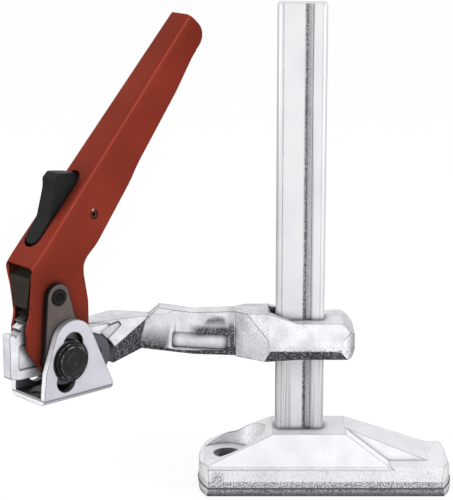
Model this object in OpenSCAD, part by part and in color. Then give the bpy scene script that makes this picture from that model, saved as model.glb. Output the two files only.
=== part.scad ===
// Machine table clamp: a cast base that bolts to a machine table, an upright
// rail, a forged arm that slides on the rail, and a ratchet lever head whose
// pressure bracket bears down on the work.
// Millimetres, +Z up. The origin is the rail's axis on the base's underside,
// and -Y is the side that faces the operator.

/* [Base plate] */
// Length of the base over its rounded ends
base_len = 144.2; // [135:0.2:170]
// Distance from the left end of the base to the rail's axis
base_reach_left = 57.5; // [54:0.5:62]
// Width of the base
base_w = 46; // [42:1:60]
// Radius of the base's rounded ends
base_end_r = 47; // [40:1:70]
// Height of the flange that the casting's parting line leaves at the bottom
base_flange_h = 4.6; // [3:0.2:6]
// How far the flange stands out
base_flange_out = 0.5; // [0.2:0.1:1]
// How far the flange leans in at its foot
base_foot_in = 1.2; // [0:0.1:2]
// Height where the rim's side starts to lean in
base_side_h = 10; // [8:0.5:12]
// Height of the rim's flat top
base_rim_h = 17.4; // [15:0.2:20]
// Height of the boss that holds the rail
boss_h = 34.6; // [30:0.2:42]
// Width of the boss's flat top
boss_top_w = 31; // [27:1:36]
// Distance from the rail's axis to the left end of the boss's flat top
boss_left = 15; // [14.5:0.5:18]
// Distance from the rail's axis to the right end of the boss's flat top
boss_right = 26; // [18:0.5:30]
// Slope of the left wing's top, degrees
left_slope = 24.2; // [22:0.2:27]
// Slope of the block's right cheek, degrees
right_cheek_slope = 35; // [30:1:45]
// Slope of the right wing's top, degrees
right_slope = 20.2; // [18:0.2:25]
// Set-back of the right wing's front face at the rim
wing_setback = 11; // [6:0.5:14]

/* [Table bolt] */
// Diameter of the hole for the table bolt
bolt_hole_d = 15.5; // [12:0.5:18]
// Distance from the rail's axis to the bolt hole
bolt_reach = 40.6; // [38:0.2:43]
// Set-off of the bolt hole to the back
bolt_back = 1.5; // [0:0.5:3]
// Diameter of the bolt's flat seat
bolt_seat_d = 32; // [28:1:36]
// Draft of the seat's wall, degrees
bolt_seat_draft = 20; // [10:1:25]

/* [Rail] */
// Width of the rail
rail_w = 27; // [24:0.5:32]
// Thickness of the rail
rail_t = 13; // [10:0.5:14]
// Corner radius of the rail
rail_corner_r = 3; // [2:0.5:4]
// Height of the rail's top over the table
rail_top = 275; // [230:5:500]
// Depth of the rail's seat below the boss's top
rail_seat = 28; // [20:1:32]
// Distance from the rail's axis to the groove in its front face
rail_groove_x = 4.6; // [3:0.2:6]
// Width of the groove
rail_groove_w = 4.4; // [3:0.2:6]
// Depth of the groove
rail_groove_depth = 1.4; // [0.8:0.1:2]
// Chamfer at the rail's top end
rail_chamfer = 0.9; // [0.5:0.1:1.5]

/* [Arm] */
// Height of the arm's underside at the eye, over the table
arm_z = 79.5; // [60:0.5:120]
// Clearance between the rail and the arm's eye, each side
slide_gap = 0.15; // [0.1:0.05:0.3]
// Height of the eye's flat pad over the arm's underside
pad_rise = 19.3; // [16:0.1:24]
// Height of the arm's crest over its underside
crest_rise = 24; // [22:0.5:28]
// Width of the eye
eye_w = 42; // [38:1:50]
// Distance from the rail's axis to the eye's right end
eye_right = 30.4; // [27:0.2:36]
// Distance from the rail's axis to the eye's left shoulder
eye_left = 17; // [16:0.5:20]
// Corner radius of the eye
eye_r = 11; // [8:0.5:13]
// How far the eye's flanks lean in at their lower edge
eye_undercut = 2.8; // [0:0.1:4]
// Thickness of the arm's web
web_t = 11; // [9:0.5:14]
// Depth of the shallow dish in both faces of the web
dish_depth = 1.3; // [0.6:0.1:1.8]
// Radius of the ball that leaves the dish
dish_r = 50; // [40:1:80]
// Height of the dish's middle over the arm's underside
dish_rise = 11; // [10:0.5:13]
// Depth of the plain name panel sunk in the web
panel_depth = 3; // [2.4:0.1:3.4]
// Distance from the rail's axis to where the web's flank flares to the eye
flank_reach = 36; // [32:1:40]
// Distance from the rail's axis to the bend of the arm
bend_reach = 98; // [85:1:140]
// Angle by which the head is turned at the bend, degrees
head_turn = 42; // [30:1:50]
// Distance from the bend to the journals' axis
head_reach = 50; // [46:1:60]
// Width of the nose behind the head
nose_w = 24; // [20:1:28]
// Thickness of the tongue that carries the lever
tongue_t = 6.4; // [6:0.2:7.6]

/* [Ratchet] */
// Radius of the ratchet's tooth tips about the lever's pivot
ratchet_r = 49; // [47:0.5:50]
// Depth of the teeth
tooth_depth = 2.2; // [1.2:0.1:2.4]
// Angle between two teeth, degrees
tooth_pitch = 5; // [4:1:6]
// Angle of the tooth that the pawl stands over at rest, degrees
pawl_angle = 136.5; // [135:0.5:138]
// Number of teeth
tooth_count = 5; // [4:1:5]
// Gap between the pawl's tooth and the tooth tips
ratchet_gap = 0.35; // [0.3:0.05:0.6]

/* [Lever head] */
// Height of the journals' axis over the arm's underside
journal_rise = 7.5; // [6:0.5:9]
// Distance along the head from the journals' axis to the lever's pivot
pivot_reach = 18.5; // [17:0.5:20]
// Height of the lever's pivot over the journals' axis
pivot_rise = -1.5; // [-3:0.5:1]
// Diameter of the lever's pivot pin
pivot_pin_d = 11; // [8:0.5:12]
// Diameter of the journals where they turn in the plates
journal_shank_d = 12; // [10:0.5:14]
// Diameter of the journals where they carry the bracket
journal_d = 23.2; // [20:0.2:25]
// Diameter of the journals' end caps
journal_cap_d = 17.8; // [16:0.2:19]
// How far the journals stand out of the bracket's cheeks
journal_proud = 3; // [2:0.5:4]
// Running clearance of pins and journals, on the radius
running_gap = 0.06; // [0.03:0.01:0.1]
// Thickness of the side plates
plate_t = 3.5; // [2.5:0.1:4]
// Gap between the side plates and the bracket's cheeks
cheek_gap = 0.5; // [0.3:0.1:0.8]
// Diameter of the plate rivets
rivet_d = 7; // [5:0.5:8]
// Diameter of the plate rivets' heads
rivet_head_d = 9.4; // [8:0.2:11]
// Height of the rivets' heads
rivet_head_h = 1.2; // [0.8:0.1:1.4]

/* [Lever] */
// Thickness of the lever's sheet
lever_t = 2; // [1.5:0.1:2.4]
// Angle of the lever over the horizontal, degrees
lever_lean = 47.4; // [44:0.2:50]
// Length of the lever's web
lever_len = 168; // [140:1:220]
// Half width of the lever at the lower end of its web
lever_half_low = 13; // [12:0.2:15]
// Half width of the lever at its top end
lever_half_top = 9; // [8:0.2:11]
// Half width over the lever's joggled lower walls
wall_half = 7.4; // [7.2:0.1:8]
// Radius of the lever's folds
fold_r = 3.6; // [2.5:0.1:5]
// Width of the lips that are curled in along the grip's back
lip_w = 3; // [2:0.5:4]

/* [Pawl and trigger] */
// Station of the pawl's pin along the lever's web
pawl_station = 45.1; // [42:0.5:48]
// Depth of the pawl's pin below the web
pawl_depth = 15.3; // [13:0.1:17]
// Diameter of the pawl's pin
pawl_pin_d = 4; // [3:0.5:5]
// Bore of the hollow pin
pawl_pin_bore = 2.4; // [1.6:0.2:2.8]
// Thickness of the pawl
pawl_t = 10.2; // [6:0.2:10.2]
// Station of the lower end of the trigger's slot
slot_low = 11; // [9:0.5:14]
// Station of the upper end of the slot
slot_high = 61; // [59:0.5:66]
// Width of the slot
slot_w = 12.6; // [11:0.2:13]
// Set-off of the slot to the far side
slot_shift = 1.8; // [0:0.2:2]
// Clearance between the trigger and the slot, each side
trigger_gap = 0.5; // [0.3:0.1:1]
// Height of the trigger's hump over the web
trigger_h = 12.6; // [10:0.2:15]

/* [Pressure bracket] */
// Thickness of the bracket's sheet
bracket_t = 3.7; // [3:0.1:4.5]
// Depth of the bracket's pressing face below the journals' axis
bracket_drop = 22.4; // [21:0.2:26]
// Reach of the bracket's front edge from the journals' axis
bracket_front = 17.9; // [16:0.5:20]
// Reach of the bracket's rear edge from the journals' axis
bracket_rear = 28.7; // [26:0.5:29]
// Radius of the cheeks' round tops
bracket_top_r = 13; // [12.5:0.5:15]
// Outer radius of the bracket's bends
bracket_bend_r = 4.2; // [4:0.2:6]
// Clearance of the bracket on its journals, on the radius
bracket_gap = 0.1; // [0.05:0.01:0.1]
// Diameter of the hole in the bracket's floor
bracket_hole_d = 5.6; // [4:0.2:7]
// Reach of that hole from the journals' axis to the front
bracket_hole_reach = 12.8; // [6:0.2:13]

/* [Hidden] */
$fn = 72;

far = 400;

// Base plate, worked out from its driving sizes
base_left = -base_reach_left;
base_right = base_len - base_reach_left;
rim_w = base_w - 3;
block_foot_w = base_w - 2;
block_rise = boss_h - base_rim_h;
rail_foot = boss_h - rail_seat;

// Arm heights
pad_z = arm_z + pad_rise;
crest_z = arm_z + crest_rise;
web_low_left = arm_z + 2.3;
web_low_mid = arm_z - 1.3;
web_low_right = arm_z - 2.2;
nose_z = arm_z - 1.7;
nose_top_z = crest_z - 4.5;

// Head: x runs along the head back to the bend, y to the far side
journal_z = arm_z + journal_rise;
pivot = [pivot_reach, journal_z + pivot_rise];
journal = [0, journal_z];
rivet = [-4, journal_z + 35.6];

// Lateral stack of the head, from its middle outwards
wall_in = wall_half - lever_t;
plate_in = wall_half;
plate_out = plate_in + plate_t;
cheek_in = plate_out + cheek_gap;
cheek_out = cheek_in + bracket_t;
journal_out = cheek_out + journal_proud;
inner_head_out = wall_in - 0.1;
inner_head_in = inner_head_out - rivet_head_h;

// Lever stations: s runs up along the web's face, d into the channel
lever_root = [-22, journal_z + 55];
lever_along = [cos(lever_lean), sin(lever_lean)];
lever_into = [sin(lever_lean), -cos(lever_lean)];
function station(s, d) = lever_root + s * lever_along + d * lever_into;
// A rounded corner at station s and height h out of the web
function out(s, h, r) = [station(s, -h)[0], station(s, -h)[1], r];
pawl_pin_at = station(pawl_station, pawl_depth);
// Depth below the web's face where the trigger stands on the pawl
pawl_top = 7.4;
lever_top_z = station(lever_len, 0)[1];
joggle_z = lever_root[1] - 9;
wide_z = lever_root[1] + 5;
function lever_half(z) = lever_half_low
    + (lever_half_top - lever_half_low) * (z - wide_z) / (lever_top_z - wide_z);

// A point on a circle about the lever's pivot
function polar(r, a) = pivot + r * [cos(a), sin(a)];

function unit(v) = v / norm(v);

// Outline through corners [x, y, radius], each rounded to its own radius
function rounded(corners) = [for (i = [0 : len(corners) - 1])
    each round_corner(corners[(i + len(corners) - 1) % len(corners)], corners[i],
        corners[(i + 1) % len(corners)])];
function round_corner(before, at, after) =
    let (p = [at[0], at[1]],
        u = unit([before[0], before[1]] - p),
        v = unit([after[0], after[1]] - p),
        half = acos(u * v) / 2,
        middle = p + unit(u + v) * at[2] / sin(half),
        from = p + u * at[2] / tan(half) - middle,
        start = atan2(from[1], from[0]),
        sweep = (u[1] * v[0] - u[0] * v[1] < 0 ? -1 : 1) * (180 - 2 * half),
        steps = max(2, ceil(abs(sweep) / 12)))
    at[2] == 0 ? [p] : [for (k = [0 : steps])
        middle + at[2] * [cos(start + sweep * k / steps), sin(start + sweep * k / steps)]];

// Extrude a profile drawn in x and z from y0 to y1
module along_y(y0, y1) {
    translate([0, y1, 0]) rotate([90, 0, 0]) linear_extrude(y1 - y0) children();
}

// Extrude a profile drawn in y and z from x0 to x1
module along_x(x0, x1) {
    translate([x0, 0, 0]) rotate([90, 0, 90]) linear_extrude(x1 - x0) children();
}

// A cylinder across the head at a point [x, z], from y0 to y1
module across(at, d, y0, y1) {
    translate([at[0], y1, at[1]]) rotate([90, 0, 0]) cylinder(h = y1 - y0, d = d);
}

module at_head() {
    translate([-bend_reach, 0, 0]) rotate([0, 0, head_turn]) translate([-head_reach, 0, 0]) children();
}

module near_side() {
    children();
}

module far_side() {
    mirror([0, 1, 0]) children();
}

// Plan of the base, set in by a margin all round
module base_plan(inset) {
    intersection() {
        translate([base_left, -base_w / 2 + inset]) square([base_len, base_w - 2 * inset]);
        union() {
            translate([base_left + base_end_r, 0]) circle(r = base_end_r - inset, $fn = 180);
            translate([base_right - base_end_r, 0]) circle(r = base_end_r - inset, $fn = 180);
        }
    }
}

// Plan of the rail, grown by a margin and with its groove left out if plain
module rail_plan(grow, plain) {
    half_w = rail_w / 2 + grow;
    half_t = rail_t / 2 + grow;
    r = rail_corner_r + grow;
    difference() {
        polygon(rounded([[-half_w, -half_t, r], [half_w, -half_t, r], [half_w, half_t, r],
            [-half_w, half_t, r]]));
        if (!plain)
            polygon([[rail_groove_x - rail_groove_w / 2, -half_t - 1],
                [rail_groove_x - rail_groove_w / 2, -half_t],
                [rail_groove_x - rail_groove_w / 4, -half_t + rail_groove_depth],
                [rail_groove_x + rail_groove_w / 4, -half_t + rail_groove_depth],
                [rail_groove_x + rail_groove_w / 2, -half_t],
                [rail_groove_x + rail_groove_w / 2, -half_t - 1]]);
    }
}

module base_rim() {
    intersection() {
        union() {
            linear_extrude(base_flange_h) base_plan(0);
            linear_extrude(base_rim_h) base_plan(base_flange_out);
        }
        along_x(base_left - 1, base_right + 1) polygon(rounded([
            [-base_w / 2, base_flange_h, 0], [-base_w / 2 + base_foot_in, 0, 0],
            [base_w / 2 - base_foot_in, 0, 0], [base_w / 2, base_flange_h, 0],
            [base_w / 2, base_side_h, 3], [rim_w / 2, base_rim_h, 1.5], [-rim_w / 2, base_rim_h, 1.5],
            [-base_w / 2, base_side_h, 3]]));
        along_y(-base_w, base_w) polygon(rounded([[base_left, base_flange_h, 0],
            [base_left + base_foot_in, 0, 0], [base_right - base_foot_in, 0, 0],
            [base_right, base_flange_h, 0], [base_right, base_side_h, 3], [base_right - 3, base_rim_h, 1.5],
            [base_left + 3, base_rim_h, 1.5], [base_left, base_side_h, 3]]));
    }
}

// The block under the rail, with the left wing's slope and the right cheek
module base_block() {
    intersection() {
        along_y(-base_w, base_w) polygon([
            [-boss_left - (block_rise + 2) / tan(left_slope), base_rim_h - 2],
            [-boss_left, boss_h], [boss_right, boss_h],
            [boss_right + (block_rise + 2) / tan(right_cheek_slope), base_rim_h - 2]]);
        along_x(-far, far) polygon([[-block_foot_w / 2, base_rim_h], [-boss_top_w / 2, boss_h],
            [boss_top_w / 2, boss_h], [block_foot_w / 2, base_rim_h],
            [block_foot_w / 2, base_rim_h - 2], [-block_foot_w / 2, base_rim_h - 2]]);
        linear_extrude(boss_h + 1) base_plan(base_flange_out);
    }
}

// The right wing, whose front face stands back from the rim
module base_wing() {
    wing_front = block_foot_w / 2 - wing_setback;
    front_lean = (block_foot_w - boss_top_w) / 2;
    intersection() {
        along_y(-base_w, base_w) polygon([[0, base_rim_h - 2], [0, boss_h], [boss_right, boss_h],
            [boss_right + (block_rise + 2) / tan(right_slope), base_rim_h - 2]]);
        along_x(-far, far) polygon([[-wing_front, base_rim_h - 2], [-wing_front, base_rim_h],
            [-wing_front + front_lean, boss_h], [boss_top_w / 2, boss_h],
            [block_foot_w / 2, base_rim_h], [block_foot_w / 2, base_rim_h - 2]]);
        linear_extrude(boss_h + 1) base_plan(base_flange_out);
    }
}

module base_plate() color("gainsboro") {
    difference() {
        union() {
            base_rim();
            base_block();
            base_wing();
        }
        translate([0, 0, rail_foot]) linear_extrude(boss_h) rail_plan(0, true);
        translate([-bolt_reach, bolt_back, -1]) cylinder(h = far, d = bolt_hole_d);
        translate([-bolt_reach, bolt_back, base_rim_h]) cylinder(h = block_rise + 1,
            d1 = bolt_seat_d, d2 = bolt_seat_d + 2 * (block_rise + 1) * tan(bolt_seat_draft));
    }
}

module rail() color("silver") {
    intersection() {
        translate([0, 0, rail_foot]) linear_extrude(rail_top - rail_foot) rail_plan(0, false);
        along_y(-rail_t, rail_t) polygon([[-rail_w / 2, 0], [rail_w / 2, 0],
            [rail_w / 2, rail_top - rail_chamfer], [rail_w / 2 - rail_chamfer, rail_top],
            [-rail_w / 2 + rail_chamfer, rail_top], [-rail_w / 2, rail_top - rail_chamfer]]);
        along_x(-rail_w, rail_w) polygon([[-rail_t / 2, 0], [rail_t / 2, 0],
            [rail_t / 2, rail_top - rail_chamfer], [rail_t / 2 - rail_chamfer, rail_top],
            [-rail_t / 2 + rail_chamfer, rail_top], [-rail_t / 2, rail_top - rail_chamfer]]);
    }
}

// The eye that slides on the rail, with the flanks that run out to the web
module arm_eye() {
    half = eye_w / 2;
    intersection() {
        translate([0, 0, arm_z - 5]) linear_extrude(crest_rise + 10) polygon(rounded([
            [-flank_reach, -web_t / 2, 0], [-eye_left, -half, 4], [eye_right, -half, eye_r],
            [eye_right, half, eye_r], [-eye_left, half, 4], [-flank_reach, web_t / 2, 0]]));
        along_x(-far, far) polygon(rounded([[-half + eye_undercut, arm_z - 2.5, 1.5],
            [half - eye_undercut, arm_z - 2.5, 1.5], [half, arm_z + 5.5, 2], [half - 1, arm_z + 11.8, 2], [web_t / 2 + 5, crest_z, 1],
            [-web_t / 2 - 5, crest_z, 1], [-half + 1, arm_z + 11.8, 2], [-half, arm_z + 5.5, 2]]));
        along_y(-eye_w, eye_w) polygon(rounded([[-flank_reach - 1, web_low_right, 0], [-eye_left, arm_z - 1.2, 0],
            [-2, arm_z, 0], [eye_right - 2.5, arm_z, 2], [eye_right, arm_z + 4.5, 2],
            [eye_right, arm_z + 12.5, 3], [eye_right - 6.4, pad_z, 2], [-eye_left + 1.5, pad_z, 0],
            [-eye_left - 1, crest_z + 1, 0], [-flank_reach - 1, crest_z + 1, 0]]));
    }
}

// What is left of the crest beside the pad: it runs out to the right, and the
// pad's edge crosses it from the rail's corner
module eye_shoulder() {
    edge_from = [-eye_left + 2, -rail_t / 2];
    edge_to = [-1, -14.4];
    intersection() {
        translate([0, 0, pad_z - 1]) linear_extrude(crest_z) polygon([edge_from, edge_to,
            [edge_to[0], -eye_w], [-eye_left - 2, -eye_w], [-eye_left - 2, edge_from[1]]]);
        along_x(-eye_left - 2, edge_to[0]) polygon([[-eye_w / 2 + 1, arm_z + 11.8],
            [-web_t / 2 - 5, crest_z], [0, crest_z], [0, arm_z + 11.8]]);
        along_y(-eye_w, 0) polygon([[-eye_left - 2, pad_z - 1], [edge_to[0], pad_z - 1],
            [edge_to[0], pad_z], [-eye_left - 1, crest_z], [-eye_left - 2, crest_z]]);
    }
}

// The web between the eye and the bend, hollowed and dished on both faces
module arm_web() {
    hollow_r = 150;
    hollow_depth = 0.8;
    dish_x = -flank_reach - 13.5;
    half = web_t / 2;
    difference() {
        intersection() {
            along_y(-half, half) polygon(rounded([[-bend_reach + 4, web_low_left + 1, 0],
                [-bend_reach + 12, web_low_left, 0], [-bend_reach + 38, web_low_mid, 20],
                [-flank_reach + 1, web_low_right, 0], [-flank_reach + 1, crest_z, 0],
                [-bend_reach + 38, crest_z - 0.8, 20], [-bend_reach + 19, crest_z + 2, 0],
                [-bend_reach + 10, crest_z - 6.5, 0], [-bend_reach + 4, crest_z - 6.5, 0]]));
            along_x(-far, far) polygon([[-half + 2.6, arm_z - 4], [half - 2.6, arm_z - 4],
                [half, arm_z + 3], [half, crest_z - 1.5], [half - 1.2, crest_z + 3],
                [-half + 1.2, crest_z + 3], [-half, crest_z - 1.5], [-half, arm_z + 3]]);
        }
        for (side = [-1, 1]) {
            translate([-flank_reach - 24, side * (half + hollow_r - hollow_depth), 0])
                cylinder(h = far, r = hollow_r, $fn = 360);
            translate([dish_x, side * (half + dish_r - dish_depth), arm_z + dish_rise])
                sphere(r = dish_r, $fn = 120);
        }
    }
}

// A plane on the ridge that climbs the nose's near side, leaning by an angle
// from the horizontal: x runs along the ridge
module nose_ridge(lean) {
    ridge_foot = [31.5, -nose_w / 2, nose_z + 9.2];
    ridge_climb = 26.8;
    translate(ridge_foot) rotate([0, -ridge_climb, 0]) rotate([lean, 0, 0]) children();
}

// The nose behind the head, square across, cut back round the side plates
module arm_nose() {
    half = nose_w / 2;
    nose_tip = 22;
    nose_front = 33;
    upper_lean = 42;
    lower_lean = 102;
    pocket_depth = 0.8;
    difference() {
        intersection() {
            translate([0, 0, nose_z - 5]) linear_extrude(crest_rise + 10) polygon(rounded([
                [nose_tip, -half, 0], [55.1, -half, 0], [64, -half, 0], [64, -6, 0],
                [48, half, 4], [nose_tip, half, 0]]));
            along_y(-nose_w, nose_w) polygon(rounded([[nose_tip, nose_z, 0], [nose_front, nose_z, 2],
                [56, web_low_left, 8], [66, web_low_left + 0.6, 0], [66, nose_top_z + 1, 0],
                [52, nose_top_z + 1.5, 10], [nose_tip, nose_top_z, 1.5]]));
        }
        for (lean = [upper_lean, lower_lean])
            nose_ridge(lean) translate([-20, -40, 0]) cube([80, 80, 40]);
        nose_ridge(upper_lean) translate([0, 0, -pocket_depth]) linear_extrude(3)
            polygon(rounded([[-6, 5.2, 0.5], [13.9, 7, 1], [14.4, 9.6, 1], [-6, 16, 0.5]]));
        across(pivot, 2 * (nose_front - pivot[0]), -half - 1, half + 1);
        translate([0, -half - 1, nose_z - 1]) cube([nose_front, nose_w + 2, pivot[1] - nose_z + 1]);
    }
}

// One notch of the ratchet: a steep face and a long ramp
module tooth_notch(a) {
    polygon([polar(ratchet_r - tooth_depth, a), polar(ratchet_r + 1, a),
        polar(ratchet_r + 1, a + tooth_pitch), polar(ratchet_r, a + tooth_pitch)]);
}

// The tongue between the side plates, with its ratchet teeth
module arm_tongue() {
    last = pawl_angle + tooth_pitch * (tooth_count - 0.5);
    first = pawl_angle - tooth_pitch;
    half = tongue_t / 2;
    front = -31.3;
    pocket_depth = 0.9;
    difference() {
        along_y(-half, half) difference() {
            polygon(concat(
                rounded([[38, nose_z + 0.3, 0], [-2, arm_z - 1.4, 30], [front + 6, arm_z - 0.6, 4],
                    [front, arm_z + 0.6, 1], [front, arm_z + 25.3, 1],
                    [polar(ratchet_r, last)[0], arm_z + 24.8, 0]]),
                [for (k = [0 : 12]) polar(ratchet_r, last + (first - last) * k / 12)],
                rounded([[polar(ratchet_r - 6, first - 4)[0], polar(ratchet_r - 6, first - 4)[1], 0],
                    [12, arm_z + 25, 10], [24, nose_top_z, 8], [38, nose_top_z - 0.5, 0]])));
            for (k = [0 : tooth_count - 1]) tooth_notch(pawl_angle - tooth_pitch / 2 + k * tooth_pitch);
        }
        across(pivot, pivot_pin_d + 2 * running_gap, -half - 1, half + 1);
        for (side = [-1, 1]) translate([0, side * half, 0])
            along_y(-pocket_depth, pocket_depth) polygon(rounded([[front + 5.5, arm_z + 4.7, 1.2],
                [2, arm_z + 4.2, 2], [2, arm_z + 18.4, 2], [front + 6, arm_z + 18.5, 1.2]]));
    }
}

module sliding_arm() color("lightgray") {
    difference() {
        union() {
            arm_eye();
            near_side() eye_shoulder();
            far_side() eye_shoulder();
            arm_web();
            at_head() {
                arm_nose();
                arm_tongue();
            }
        }
        translate([0, 0, arm_z - 10]) linear_extrude(crest_rise + 20) rail_plan(slide_gap, true);
        translate([-56, -web_t / 2, arm_z + 6.4]) rotate([0, 3.5, 0])
            along_y(-2, panel_depth) polygon(rounded([[-15.5, -4.6, 1.5], [15.5, -4.6, 1.5], [15.5, 4.6, 1.5],
                [-15.5, 4.6, 1.5]]));
    }
}

module pivot_pin() color("dimgray") at_head()
    across(pivot, pivot_pin_d, -plate_out, plate_out);

module pivot_washer() {
    half = tongue_t / 2;
    difference() {
        across(pivot, pivot_pin_d + 5, -plate_in + 0.02, -half - running_gap);
        across(pivot, pivot_pin_d + 2 * running_gap, -plate_in - 1, 0);
    }
}

module pivot_washer_near() color("dimgray") at_head() near_side() pivot_washer();

module pivot_washer_far() color("dimgray") at_head() far_side() pivot_washer();

// Flat outline of the lever's walls
module wall_outline() {
    polygon(rounded([
        [station(0, 0)[0], station(0, 0)[1], 0],
        [station(lever_len, 0)[0], station(lever_len, 0)[1], 0],
        [station(lever_len, 15)[0], station(lever_len, 15)[1], 8],
        [station(lever_len - 38, 20.3)[0], station(lever_len - 38, 20.3)[1], 30],
        [station(23.3, 27.9)[0], station(23.3, 27.9)[1], 10],
        [18.5, journal_z + 29, 12], [18.5, journal_z + 10, 2], [10, journal_z + 5, 4],
        [10, journal_z - 10, 6],
        [-6, journal_z - 12, 6], [-14.8, journal_z - 2, 3], [-22.2, journal_z + 28, 8],
        [-21, lever_root[1] - 4, 3]]));
}

// Section of the two walls across the lever: straight and narrow at the
// plates, joggled out to the full width of the web, tapered to the top
module wall_section() {
    for (side = [-1, 1]) polygon([for (p = [[wall_half, 0], [wall_half, joggle_z],
        [lever_half_low, wide_z], [lever_half(lever_top_z + 20), lever_top_z + 20],
        [lever_half(lever_top_z + 20) - lever_t, lever_top_z + 20],
        [lever_half_low - lever_t, wide_z + 0.6], [wall_in, joggle_z + 0.6], [wall_in, 0]])
        [side * p[0], p[1]]]);
}

// Section of the whole envelope across the lever's web
module web_section() {
    top = lever_half(lever_top_z + 20);
    low = lever_half_low;
    polygon([[-low, wide_z - 20], [low, wide_z - 20], [low, wide_z], [top, lever_top_z + 20],
        [-top, lever_top_z + 20], [-low, wide_z]]);
}

// What the near fold's radius takes off the sharp corner of web and wall
module fold_corner() {
    taper = atan((lever_half_low - lever_half_top) * sin(lever_lean) / (lever_top_z - wide_z));
    start = station(-20, 0);
    translate([start[0], -lever_half(start[1]), start[1]]) rotate([0, 90 - lever_lean, 0])
        rotate([-taper, 0, 0]) difference() {
            translate([-2, -4, -10]) cube([fold_r + 2, fold_r + 4, lever_len + 60]);
            translate([fold_r, fold_r, -11]) cylinder(h = lever_len + 62, r = fold_r);
        }
}

// The lips curled in along the back of the grip
module grip_lips() {
    intersection() {
        along_y(-far, far) polygon([station(78, 23.4), station(lever_len - 38, 20.3),
            station(lever_len - 8, 16.2), station(lever_len - 8, 16.2 - lever_t),
            station(lever_len - 38, 20.3 - lever_t), station(78, 23.4 - lever_t)]);
        along_x(-far, far) for (side = [-1, 1]) polygon([for (p = [[lever_half_low - lever_t / 2, wide_z],
            [lever_half(lever_top_z) - lever_t / 2, lever_top_z],
            [lever_half(lever_top_z) - lever_t - lip_w, lever_top_z],
            [lever_half_low - lever_t - lip_w, wide_z]]) [side * p[0], p[1]]]);
    }
}

module lever_handle() color("firebrick") at_head() {
    difference() {
        union() {
            intersection() {
                along_y(-far, far) wall_outline();
                along_x(-far, far) wall_section();
            }
            intersection() {
                along_y(-far, far) polygon([station(0, 0), station(lever_len, 0),
                    station(lever_len, lever_t), station(0, lever_t)]);
                along_x(-far, far) web_section();
            }
            grip_lips();
        }
        near_side() fold_corner();
        far_side() fold_corner();
        web_stadium(slot_low, slot_high, slot_w);
        across(journal, journal_shank_d + 2 * running_gap, -far, far);
        across(pivot, pivot_pin_d + 5.8, -far, far);
        across(rivet, rivet_d, -far, far);
        across(pawl_pin_at, pawl_pin_d, -far, far);
    }
}

// Flat outline of a side plate, round its three holes
module plate_outline() {
    rivet_r = 7.3;
    journal_r = 14.2;
    pivot_r = 12;
    translate(rivet) circle(r = rivet_r);
    translate(journal) circle(r = journal_r);
    translate(pivot) circle(r = pivot_r);
    polygon([[rivet[0] - rivet_r, rivet[1]], [-journal_r, journal_z], [0, journal_z - journal_r],
        [pivot[0], pivot[1] - pivot_r], [pivot[0], pivot[1] + pivot_r], [7.5, journal_z + 21],
        [rivet[0] + rivet_r, rivet[1]]]);
}

module side_plate() {
    difference() {
        along_y(-plate_out, -plate_in) plate_outline();
        across(pivot, pivot_pin_d, -far, 0);
        across(journal, journal_shank_d + 2 * running_gap, -far, 0);
        across(rivet, rivet_d, -far, 0);
    }
}

module side_plate_near() color("dimgray") at_head() near_side() side_plate();

module side_plate_far() color("dimgray") at_head() far_side() side_plate();

module plate_rivet() {
    across(rivet, rivet_d, -plate_out, -wall_in);
    across(rivet, rivet_head_d, -plate_out - rivet_head_h, -plate_out);
    across(rivet, rivet_head_d, -wall_in, -inner_head_in);
}

module plate_rivet_near() color("black") at_head() near_side() plate_rivet();

module plate_rivet_far() color("black") at_head() far_side() plate_rivet();

module pawl_pin() color("silver") at_head() {
    reach = lever_half(pawl_pin_at[1]) - 0.3;
    difference() {
        across(pawl_pin_at, pawl_pin_d, -reach, reach);
        across(pawl_pin_at, pawl_pin_bore, -reach - 1, reach + 1);
    }
}

// Torsion spring on the pawl's pin, as closed coils side by side
module pawl_spring() color("silver") at_head() {
    wire = 1;
    coils = 3;
    translate([pawl_pin_at[0], -pawl_t / 2 - 0.3, pawl_pin_at[1]]) rotate([90, 0, 0])
        rotate_extrude() for (k = [0 : coils - 1])
            translate([pawl_pin_d / 2 + 0.05, k * wire]) square([wire, wire]);
}

// The pawl: an arm from its pin down to the tooth over the ratchet
module pawl() color("dimgray") at_head() {
    half = pawl_t / 2;
    bite = pawl_angle - tooth_pitch / 2 + 0.4;
    root_r = ratchet_r + ratchet_gap + tooth_depth - 0.2;
    boss_r = 6.5;
    chin = [-21.2, lever_root[1] - 21];
    nape = [-20.6, lever_root[1] - 7.8];
    throat = [20, 20.5];
    difference() {
        union() {
            across(pawl_pin_at, 2 * boss_r, -half, half);
            along_y(-half, half) polygon([polar(ratchet_r + ratchet_gap, bite),
                polar(root_r, bite + tooth_pitch - 1), polar(root_r + 0.3, bite + tooth_pitch + 1.6),
                chin, nape, station(3, pawl_top), station(pawl_station + boss_r, pawl_top),
                station(pawl_station + boss_r, pawl_depth),
                station(pawl_station, pawl_depth + boss_r), station(throat[0], throat[1]),
                polar(root_r, bite)]);
        }
        across(pawl_pin_at, pawl_pin_d + 2 * running_gap, -far, far);
    }
}

// A stadium across the web from station low to high, for the slot and its button
module web_stadium(low, high, w) {
    translate([station(0, 0)[0], slot_shift, station(0, 0)[1]]) rotate([0, 90 - lever_lean, 0]) {
        for (s = [low + w / 2, high - w / 2])
            translate([-far / 10, 0, s]) rotate([0, 90, 0]) cylinder(h = far / 5, d = w);
        translate([-far / 10, -w / 2, low + w / 2]) cube([far / 5, w, high - low - w]);
    }
}

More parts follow.
